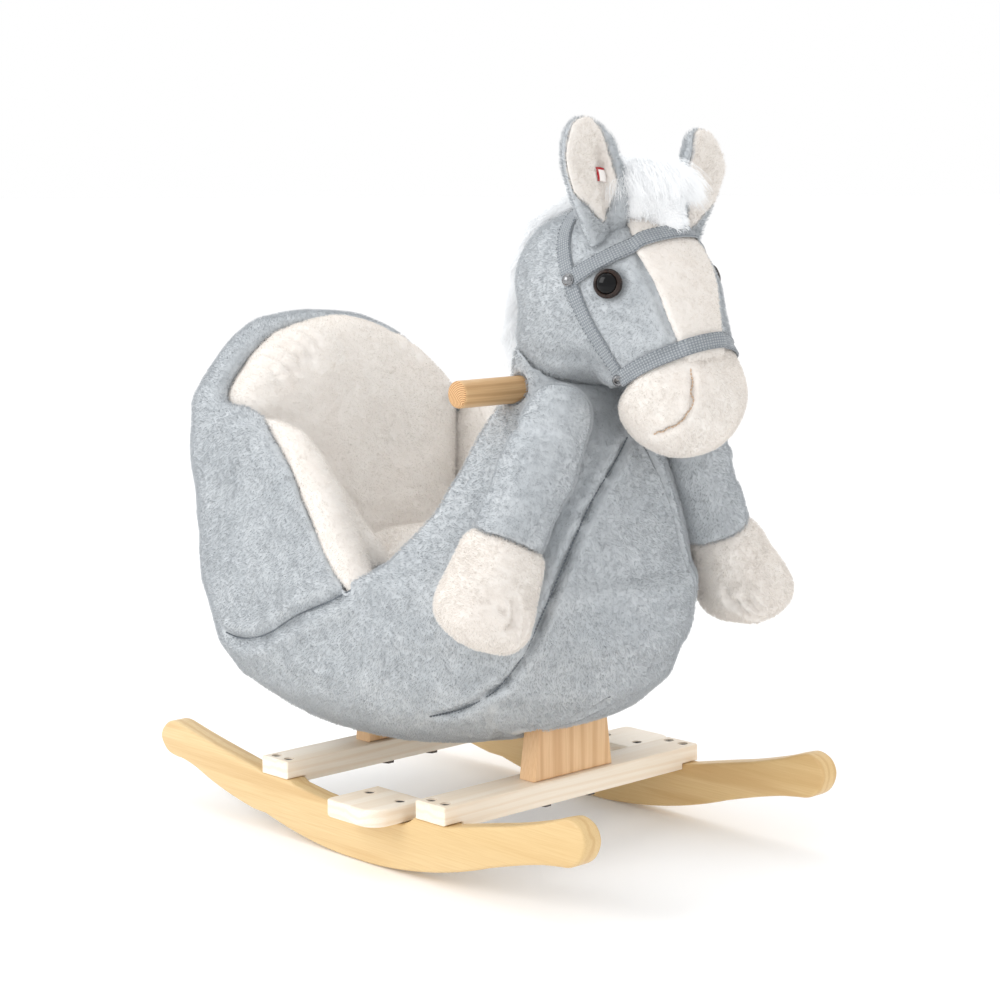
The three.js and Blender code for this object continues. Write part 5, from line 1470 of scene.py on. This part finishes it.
for side, s in (("right", -1), ("left", 1)):
    c = np.array([211, s * 59.5, 478.0])
    n = np.array([0.42, s * 0.9, 0.12])
    n /= np.linalg.norm(n)
    c2 = c + n * 0.4
    ring = [(2.0, -14), (2.2, -3.2), (10.6, -3.0), (11.4, -1.6), (11.6, 0.0), (11.3, 1.4), (10.6, 2.6), (9.7, 3.3), (8.8, 3.4), (8.2, 3.0), (8.0, 2.4), (4, 2.2)]
    lathe("eye_%s_ring" % side, ring, c2, n, EYE, ROOT, ["eye_" + side], 48)
    lathe("eye_%s_pupil" % side, [(3, 1.6), (7.8, 1.8), (8.1, 2.4)] + [(8.1 * math.cos(t), 2.6 + 4.0 * math.sin(t)) for t in np.linspace(0.1, 1.5, 9)], c2, n, PUPIL, ROOT, (), 48)
    up = STR["headstall"]
    for key, near in (("upper", (176, s * 66, 480)), ("lower", (214, s * 50, 404))):
        near = np.array(near, float)
        d = near - CENTRE
        d /= np.linalg.norm(d)
        cand = [st for st in (STR["browband"], STR["noseband"], STR["headstall"])]
        hit = HB.ray_cast(Vector(row(near + d * 40)), Vector(-d))
        base = np.array(hit[0]) * 1000 - np.array([SX, 0, 0])
        if key == "upper":
            cc = base + d * 4.6 + np.array([0.5, 0, -0.5])
            prof = [(1.8, -9), (1.8, -2), (5.0, -0.6), (5.2, 0.0), (5.0, 0.5), (4.5, 0.75), (4.3, 0.7)] + [(4.3 * math.cos(t), 0.7 + 2.5 * math.sin(t)) for t in np.linspace(0.15, 1.5, 7)]
        else:
            cc = base + d * 4.0
            prof = [(1.8, -9), (1.8, -1.6), (5.0, -0.5), (5.3, 0.4), (5.0, 1.2), (4.2, 1.5), (3.4, 1.2), (3.0, 0.4), (2.8, -0.2), (2.2, 0.1), (1.2, 0.5)]
        lathe("rivet_%s_%s_cap" % (key, side), prof, cc, d, CHROME, ROOT, ["rivet_%s_%s" % (key, side)], 40)

# small folded cloth label at the fold of the right ear
R_, T_, s_ = ear_place("right")


def label_piece():
    V, F_ = [], []
    nu, nv = 12, 12
    for side_ in (0, 1):
        for i in range(nu + 1):
            for j in range(nv + 1):
                u, v = i / nu, j / nv
                y = 1.5 + 8.0 * u
                z = 50 + 11.0 * v - 2.5 * u
                x = 3.8 + 1.6 * math.sin(math.pi * u) + 0.5 * math.sin(4 * v) + (0.3 if side_ else -0.3)
                V.append(R_ @ np.array([x, y, z]) + T_)
    N0 = (nu + 1) * (nv + 1)
    idx = lambda i, j, k: k * N0 + i * (nv + 1) + j
    for i in range(nu):
        for j in range(nv):
            F_.append((idx(i, j, 1), idx(i, j + 1, 1), idx(i + 1, j + 1, 1), idx(i + 1, j, 1)))
            F_.append((idx(i, j, 0), idx(i + 1, j, 0), idx(i + 1, j + 1, 0), idx(i, j + 1, 0)))
    for i in range(nu):
        F_.append((idx(i, 0, 0), idx(i, 0, 1), idx(i + 1, 0, 1), idx(i + 1, 0, 0)))
        F_.append((idx(i, nv, 0), idx(i + 1, nv, 0), idx(i + 1, nv, 1), idx(i, nv, 1)))
    for j in range(nv):
        F_.append((idx(0, j, 0), idx(0, j + 1, 0), idx(0, j + 1, 1), idx(0, j, 1)))
        F_.append((idx(nu, j, 0), idx(nu, j, 1), idx(nu, j + 1, 1), idx(nu, j + 1, 0)))
    o = make_mesh("ear_label_cloth", np.array(V), F_, TAG)
    o.data.materials.append(RED)
    for p in o.data.polygons:
        k = p.index
        if k < 2 * nu * nv:
            c_ = k // 2
            i, j = c_ // nv, c_ % nv
            if i < 2 or j >= nv - 2:
                p.material_index = 1
        else:
            p.material_index = 1
    declare(o, ROOT, ["ear_label"])
    return o


label_piece()


# ------------------------------------------------------------------ wood
def offset2d(P, d):
    """Moves a closed outline inwards by d along its own normals."""
    P = np.asarray(P, float)
    a, b = np.roll(P, 1, 0), np.roll(P, -1, 0)
    e1, e2 = P - a, b - P
    e1 /= np.maximum(np.linalg.norm(e1, axis=1), 1e-9)[:, None]
    e2 /= np.maximum(np.linalg.norm(e2, axis=1), 1e-9)[:, None]
    n1, n2 = np.stack([-e1[:, 1], e1[:, 0]], 1), np.stack([-e2[:, 1], e2[:, 0]], 1)
    n = n1 + n2
    n /= np.maximum(np.linalg.norm(n, axis=1), 1e-9)[:, None]
    c = np.clip(np.einsum("ij,ij->i", n, n1), 0.5, 1)
    return P + n * (d / c)[:, None]


def resample(P, step):
    P = np.asarray(P, float)
    out = []
    for a, b in zip(P, np.roll(P, -1, 0)):
        k = max(1, int(np.linalg.norm(b - a) / step))
        for i in range(k):
            out.append(a + (b - a) * i / k)
    return np.array(out)


def round_corners(P, r, seg=5):
    """Rounds each corner of an outline."""
    P = np.asarray(P, float)
    out = []
    n = len(P)
    for i in range(n):
        a, p, b = P[i - 1], P[i], P[(i + 1) % n]
        u, w = a - p, b - p
        lu, lw = np.linalg.norm(u), np.linalg.norm(w)
        u, w = u / lu, w / lw
        ang = math.acos(max(-1, min(1, float(u @ w))))
        t = min(r / max(math.tan(ang / 2), 1e-3), 0.45 * lu, 0.45 * lw)
        if ang > math.radians(165):
            out.append(p)
            continue
        p0, p1 = p + u * t, p + w * t
        for k in range(seg + 1):
            s = k / seg
            out.append((1 - s) ** 2 * p0 + 2 * s * (1 - s) * p + s * s * p1)
    return np.array(out)


def prism(name, outline, lift, lo, hi, r, material, body, nodes, fillet=4, sharp=False):
    """A board: an outline, its thickness from lo to hi, and edges rounded to r. lift maps (u, v, w) to the layout."""
    P = np.asarray(outline, float)
    area = 0.5 * np.sum(P[:, 0] * np.roll(P[:, 1], -1) - np.roll(P[:, 0], -1) * P[:, 1])
    if area < 0:
        P = P[::-1]
    rings = []
    for k in range(fillet + 1):
        t = k / fillet * math.pi / 2
        rings.append((r * (1 - math.sin(t)), lo + r * (1 - math.cos(t))))
    for k in range(fillet, -1, -1):
        t = k / fillet * math.pi / 2
        rings.append((r * (1 - math.sin(t)), hi - r * (1 - math.cos(t))))
    n = len(P)
    V = []
    for d, w in rings:
        for p in offset2d(P, d):
            V.append(lift(p[0], p[1], w))
    F_ = []
    for m in range(len(rings) - 1):
        for i in range(n):
            j = (i + 1) % n
            F_.append((m * n + i, m * n + j, (m + 1) * n + j, (m + 1) * n + i))
    F_.append(tuple(reversed(range(n))))
    k = (len(rings) - 1) * n
    F_.append(tuple(k + i for i in range(n)))
    o = make_mesh(name, np.array(V), F_, material, False)
    bm = bmesh.new()
    bm.from_mesh(o.data)
    bmesh.ops.recalc_face_normals(bm, faces=bm.faces)
    caps = [f for f in bm.faces if len(f.verts) > 8]
    bmesh.ops.triangulate(bm, faces=caps, ngon_method="EAR_CLIP")
    bm.to_mesh(o.data)
    bm.free()
    o.data.polygons.foreach_set("use_smooth", [True] * len(o.data.polygons))
    o.data.update()
    o.data.set_sharp_from_angle(angle=math.radians(28))
    declare(o, body, nodes)
    return o


def drill(o, holes):
    """Cuts countersunk screw seats and bores into a board."""
    cut = bpy.data.meshes.new("cutter")
    bm = bmesh.new()
    for c, n, prof in holes:
        c, n = np.array(c, float), np.array(n, float)
        n /= np.linalg.norm(n)
        u = np.cross(n, [0.1, 0.9, 0.3])
        u /= np.linalg.norm(u)
        w = np.cross(n, u)
        rings = []
        for r, h in prof:
            rings.append([bm.verts.new(row(c + n * h + (u * math.cos(t) + w * math.sin(t)) * r)) for t in np.linspace(0, 2 * math.pi, 25)[:-1]])
        for a, b in zip(rings[:-1], rings[1:]):
            for i in range(24):
                bm.faces.new((a[i], a[(i + 1) % 24], b[(i + 1) % 24], b[i]))
        bm.faces.new(list(reversed(rings[0])))
        bm.faces.new(rings[-1])
    bmesh.ops.recalc_face_normals(bm, faces=bm.faces)
    bm.to_mesh(cut)
    bm.free()
    co = bpy.data.objects.new("cutter", cut)
    SCENE.collection.objects.link(co)
    m = o.modifiers.new("bore", "BOOLEAN")
    m.operation, m.object, m.solver = "DIFFERENCE", co, "EXACT"
    with bpy.context.temp_override(object=o, active_object=o, selected_objects=[o]):
        bpy.ops.object.modifier_apply(modifier=m.name)
    bpy.data.objects.remove(co)
    bpy.data.meshes.remove(cut)


H_, BT = 150.0, 19.0
YM = H_ - BT / 2
ROCK_R, ROCK_X, STAND = 485.0, 9.0, 16.0


def arc_z(x):
    d = abs(x - ROCK_X)
    return 0.0 if d <= STAND else ROCK_R - math.sqrt(ROCK_R ** 2 - d * d) - 0.26


under = [[x, arc_z(x)] for x in np.linspace(-110, 170, 71)]
under = [p for p in under if abs(p[0] - ROCK_X) > STAND + 0.5] + [[ROCK_X - STAND, 0.0], [ROCK_X + STAND, 0.0]]
under.sort()
front_end = catmull([(185, arc_z(182)), (206, 37.4), (229, 42.8), (246, 45.4), (260, 47.6), (271, 55), (276, 68), (271, 79.5), (259, 84.5), (246, 81.5), (229, 75.6), (197, 66.8), (166, 60), (128, 51.5)], 5)
back_end = catmull([(-118, 52), (-149, 57.2), (-180, 62.4), (-211, 68), (-228, 71.5), (-241, 73.6), (-252, 71.5), (-261, 63.5), (-263, 55), (-255, 45), (-244, 41.5), (-230, 40.5), (-212, 36.6), (-190, 29.2), (-168, 23.2), (-148, 18.8), (-128, 15.2)], 5)
rocker_out = list(map(tuple, under)) + list(map(tuple, front_end)) + [(123.5, 50.5), (84, 50.5), (78, 46.2), (69.5, 42), (7, 42), (-2, 42), (-40, 44), (-70, 47.6), (-76, 50.5), (-115.5, 50.5)] + list(map(tuple, back_end))
clean = [rocker_out[0]]
for p in rocker_out[1:]:
    if math.dist(p, clean[-1]) > 0.8:
        clean.append(p)
BARX = [-113.5 + 9.5, -113.5 + 26, 86 + 9.5, 86 + 26]
SEAT_PROF = [(0.8, -38), (2.35, -36), (2.35, -3.4), (4.35, -0.6), (4.6, 0.4), (4.6, 3)]
ZB = 50.5 + 15.3 - 1.15
CADZ = {n: float(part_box("bar_screw_right_1")[1][2] * 1000) for n in ("bar",)}
BARTOP = float(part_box("crossbar_front")[1][2] * 1000)
BARBOT = float(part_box("crossbar_front")[0][2] * 1000)
BARSCREW_Z = float(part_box("bar_screw_right_1")[1][2] * 1000)
RESTSCREW_Z = float(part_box("footrest_screw_right_1")[1][2] * 1000)
for side, s in (("right", -1), ("left", 1)):
    y0, y1 = (H_ - BT, H_) if s > 0 else (-H_, -H_ + BT)
    o = prism("rocker_%s_board" % side, clean, lambda u, v, w: (u, w, v), y0, y1, 2.6, PINE, ROOT, ["rocker_" + side], 4)
    drill(o, [((x, s * YM, BARSCREW_Z), (0, 0, 1), SEAT_PROF) for x in BARX] + [((x, s * YM, RESTSCREW_Z), (0, 0, 1), SEAT_PROF) for x in (19, 57)])
    # footrest board
    x0, x1, ya, yb, r = 8, 68, 122, 179, 17
    pts = [(x0, ya), (x1, ya)] + [(x1 - r + r * math.cos(t), yb - r + r * math.sin(t)) for t in np.linspace(0, math.pi / 2, 12)] + [(x0 + 5, yb), (x0 + 1.5, yb - 1.5), (x0, yb - 5)]
    pts = [(x, s * y) for x, y in pts]
    o = prism("footrest_%s_board" % side, resample(pts, 6), lambda u, v, w: (u, v, w), 42.3, 57.3, 1.8, BEECH, ROOT, ["footrest_" + side], 3)
    drill(o, [((x, s * YM, RESTSCREW_Z), (0, 0, 1), SEAT_PROF) for x in (19, 57)])
for name, x0, xr in (("crossbar_front", 86.0, 107.5), ("crossbar_rear", -113.5, -91.5)):
    zt, zb, z0, e, c = BARTOP, BARBOT, 50.85, H_ - BT - 0.35, 1.2
    out = [(-H_, z0), (-e, z0), (-e, zb), (e, zb), (e, z0), (H_, z0), (H_, zt - c), (H_ - c, zt), (-H_ + c, zt), (-H_, zt - c)]
    o = prism(name + "_board", resample(out, 14), lambda u, v, w: (w, u, v), x0, x0 + 35.5, 1.6, BEECH, ROOT, [name], 3)
    holes = []
    for x in BARX:
        if x0 < x < x0 + 35.5:
            holes += [((x, s * YM, BARSCREW_Z), (0, 0, 1), SEAT_PROF) for s in (-1, 1)]
    holes += [((xr, y, zb - 4), (0, 0, 1), [(3.4, -2), (3.4, 30)]) for y in (-26, 26)]
    drill(o, holes)
for name, x0, x1, wb, wt, xb in (("riser_front", 98, 117, 46, 37, 107.5), ("riser_rear", -101, -82, 55, 49, -91.5)):
    b0 = float(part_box(name)[0][2] * 1000)
    out = [(-wb, b0), (wb, b0), (wt, 129.7), (-wt, 129.7)]
    o = prism(name + "_board", resample(out, 10), lambda u, v, w: (w, u, v), x0, x1, 1.5, ALDER, ROOT, [name], 3)
    drill(o, [((xb, y, b0 - 2), (0, 0, 1), [(3.3, -2), (3.3, 70)]) for y in (-26, 26)])


def screw_head(name, c, body, node, r=4.0):
    """Countersunk head with a hexagon socket, and its shank."""
    c = np.array(c, float)
    seg = 36
    V, F_ = [], []
    hexr = lambda t: 1.9 / max(math.cos(((t + math.pi / 6) % (math.pi / 3)) - math.pi / 6), 0.5)
    rings = [lambda t: (0.4, -38.0), lambda t: (1.9, -34.0), lambda t: (1.9, -3.2), lambda t: (r - 0.1, -0.9), lambda t: (r, -0.55), lambda t: (r - 0.15, -0.15), lambda t: (r - 0.5, 0.0),
             lambda t: (hexr(t) + 0.25, 0.0), lambda t: (hexr(t), -0.25), lambda t: (hexr(t) * 0.98, -1.8), lambda t: (0.5, -2.0)]
    for f in rings:
        for i in range(seg):
            t = i / seg * 2 * math.pi
            rr, h = f(t)
            V.append(c + np.array([rr * math.cos(t), rr * math.sin(t), h]))
    for m in range(len(rings) - 1):
        for i in range(seg):
            F_.append((m * seg + i, m * seg + (i + 1) % seg, (m + 1) * seg + (i + 1) % seg, (m + 1) * seg + i))
    F_.append(tuple(reversed(range(seg))))
    k = (len(rings) - 1) * seg
    F_.append(tuple(k + i for i in range(seg)))
    o = make_mesh(name, np.array(V), F_, STEEL)
    o.data.set_sharp_from_angle(angle=math.radians(40))
    declare(o, body, [node])


for side, s in (("right", -1), ("left", 1)):
    for i, x in enumerate(BARX):
        screw_head("bar_screw_%s_%d_head" % (side, i + 1), (x, s * YM, BARSCREW_Z), ROOT, "bar_screw_%s_%d" % (side, i + 1))
    for i, x in enumerate((19, 57)):
        screw_head("footrest_screw_%s_%d_head" % (side, i + 1), (x, s * YM, RESTSCREW_Z), ROOT, "footrest_screw_%s_%d" % (side, i + 1))
# turned handle: a softly chamfered bar with its end grain showing
hp = [(7.5, -120), (9.6, -119.6), (10.5, -118.9), (10.95, -117.6), (11.0, -116)] + [(11.0 + 0.05 * math.sin(y / 17.0), y) for y in np.linspace(-110, 110, 23)] + [(11.0, 116), (10.95, 117.6), (10.5, 118.9), (9.6, 119.6), (7.5, 120)]
HANDLE = lathe("handle_bar_turned", hp, (105, 0, 390), (0, 1, 0), DOWEL, ROOT, ["handle_bar"], 64)
HANDLE.data.materials.append(END)
for p in HANDLE.data.polygons:
    if abs(p.center.y) > 0.1195 or (abs(p.center.y) > 0.1186 and abs(p.normal.y) > 0.6):
        p.material_index = 1
HANDLE.data.set_sharp_from_angle(angle=math.radians(35))
# the pieces inside keep their CAD form, with their own finishes
for nm, mt in (("seat_board", PLY), ("neck_post", PLY), ("backrest_board", PLY), ("handle_pin", STEEL), ("sound_unit", PLASTIC), ("sound_button", PLASTIC),
               ("riser_bolt_front_1", STEEL), ("riser_bolt_front_2", STEEL), ("riser_bolt_rear_1", STEEL), ("riser_bolt_rear_2", STEEL)):
    o = NODES[nm]
    o.data.materials.clear()
    o.data.materials.append(mt)
print("wood", flush=True)

# ------------------------------------------------------------------ pile
def away_from_straps(p, q):
    keep = np.ones(len(p), bool)
    for line, w in STRAP_LINES:
        d, _ = poly_dist(p, line[::4])
        keep &= d > w / 2 - 0.5
    for s in (-1, 1):
        keep &= np.linalg.norm(p - np.array([211, s * 59.5, 478.0]), axis=1) > 13.0
    return keep


def near_blaze(p, q):
    return away_from_straps(p, q)


def not_inside(p, q):
    """Leaves out the places under the riser boards and the handle."""
    a = ~((np.abs(p[:, 1]) < 60) & (p[:, 2] < 131) & ((np.abs(p[:, 0] - 107.5) < 11) | (np.abs(p[:, 0] + 91.5) < 11)))
    b = np.hypot(p[:, 0] - 105, p[:, 2] - 390) > 12.5
    return a & b


DENS = 66
pile(fur_of("grey", ROOT), BODY, DENS, 3.3, RNG, (0.1, 0, -1), 0.8, 0.115, not_inside, 101, clump=0.38)
pile(fur_of("grey", ROOT), HEAD, DENS * 1.1, 3.1, RNG, (-0.5, 0, -0.85), 0.8, 0.115, away_from_straps, 102, clump=0.38)
for side in ("right", "left"):
    pile(fur_of("grey", "foreleg_" + side), LEGS[side], DENS * 1.1, 3.1, RNG, (0.1, 0, -1), 0.8, 0.115, None, 103, clump=0.38)
    pile(fur_of("cream", "foreleg_" + side), HOOVES[side], DENS * 1.2, 3.4, RNG, (0.1, 0, -1), 0.75, 0.13, None, 104, clump=0.35)
    pile(fur_of("grey", ROOT), EARS[side], DENS * 1.2, 3.6, RNG, (-0.1, 0, 1.0), 0.7, 0.13, None, 105)
    pile(fur_of("cream", ROOT), LININGS[side], DENS * 1.2, 2.6, RNG, (0.1, 0, 1.0), 0.7, 0.12, None, 106, clump=0.3)
    pile(fur_of("cream", ROOT), WPS[side], DENS, 2.4, RNG, (0.1, 0, -1), 0.7, 0.12, None, 107, clump=0.22)
pile(fur_of("cream", ROOT), BP, DENS, 2.4, RNG, (0.1, 0, -1), 0.7, 0.12, lambda p, q: p[:, 0] > -205, 108, clump=0.22)
pile(fur_of("cream", ROOT), CU, DENS, 2.4, RNG, (0.3, 0, -1), 0.7, 0.12, lambda p, q: p[:, 2] > 212, 109, clump=0.22)
pile(fur_of("cream", ROOT), MUZ, DENS * 1.3, 2.8, RNG, (0.2, 0, -1), 0.75, 0.12, away_from_straps, 110, clump=0.25)
pile(fur_of("cream", ROOT), BLAZE, DENS * 1.3, 2.2, RNG, (0.2, 0, -1), 0.75, 0.11, near_blaze, 111, clump=0.22)
W = fur_of("white", ROOT)
LONGFUR = Fur("fur_long", ROOT, WHITE_HAIR)
fur_strands(LONGFUR, ML, 70, RNG, 0.17, 4.2, 1.12)
fur_strands(LONGFUR, FL, 85, RNG, 0.17, 4.0, 1.10)
fur_strands(LONGFUR, TL, 70, RNG, 0.17, 3.6, 1.08)
LONGFUR.build()
pile(W, MANE, 60, 7.0, RNG, (-0.2, 0, -1), 0.8, 0.15, None, 112)
pile(W, FORE, 60, 7.0, RNG, (0.4, 0, -1), 0.8, 0.15, None, 113)
pile(W, TAIL, 60, 6.0, RNG, (0, 0, -1), 0.8, 0.15, None, 114)
for f in FUR.values():
    f.build()
print("pile", flush=True)

# ------------------------------------------------------------------ floor and light
me = bpy.data.meshes.new("floor")
me.from_pydata([(-60, -60, -0.0006), (60, -60, -0.0006), (60, 60, -0.0006), (-60, 60, -0.0006)], [], [(0, 1, 2, 3)])
fm, fnt, fb = mat_new("floor_white")
fn = N(fnt)
fnoise = fn.noise(fn.coords(), 3.0, 2, 0.5)
fn.link(fn.ramp(fnoise, [(0.3, (0.955, 0.955, 0.955, 1)), (0.7, (0.97, 0.97, 0.97, 1))]), fb.inputs["Base Color"])
fb.inputs["Emission Color"].default_value = (1, 1, 1, 1)
fb.inputs["Emission Strength"].default_value = 0.07
fb.inputs["Roughness"].default_value = 0.9
fb.inputs["Specular IOR Level"].default_value = 0.1
me.materials.append(fm)
floor = bpy.data.objects.new("floor", me)
SCENE.collection.objects.link(floor)
world = bpy.data.worlds.new("studio")
SCENE.world = world
world.use_nodes = True
wn = world.node_tree
wn.nodes.clear()
bg = wn.nodes.new("ShaderNodeBackground")
wo = wn.nodes.new("ShaderNodeOutputWorld")
bg.inputs["Color"].default_value = (1.0, 1.0, 1.0, 1)
bg.inputs["Strength"].default_value = 1.0
wn.links.new(bg.outputs[0], wo.inputs[0])


def area(name, loc, target, size, power, col=(1, 1, 1)):
    d = bpy.data.lights.new(name, "AREA")
    d.shape = "RECTANGLE"
    d.size, d.size_y = size
    d.energy = power
    d.color = col
    o = bpy.data.objects.new(name, d)
    o.location = loc
    o.rotation_euler = (Vector(target) - Vector(loc)).to_track_quat("-Z", "Y").to_euler()
    SCENE.collection.objects.link(o)


area("key", (-0.9, -2.7, 1.9), (0, 0, 0.3), (1.8, 1.8), 36)
area("top", (-0.6, 0.4, 3.0), (0, 0, 0.3), (2.2, 2.2), 14)
SCENE.view_settings.view_transform = "Standard"
SCENE.view_settings.look = "None"
SCENE.view_settings.exposure = 0.0
SCENE.view_settings.gamma = 1.0
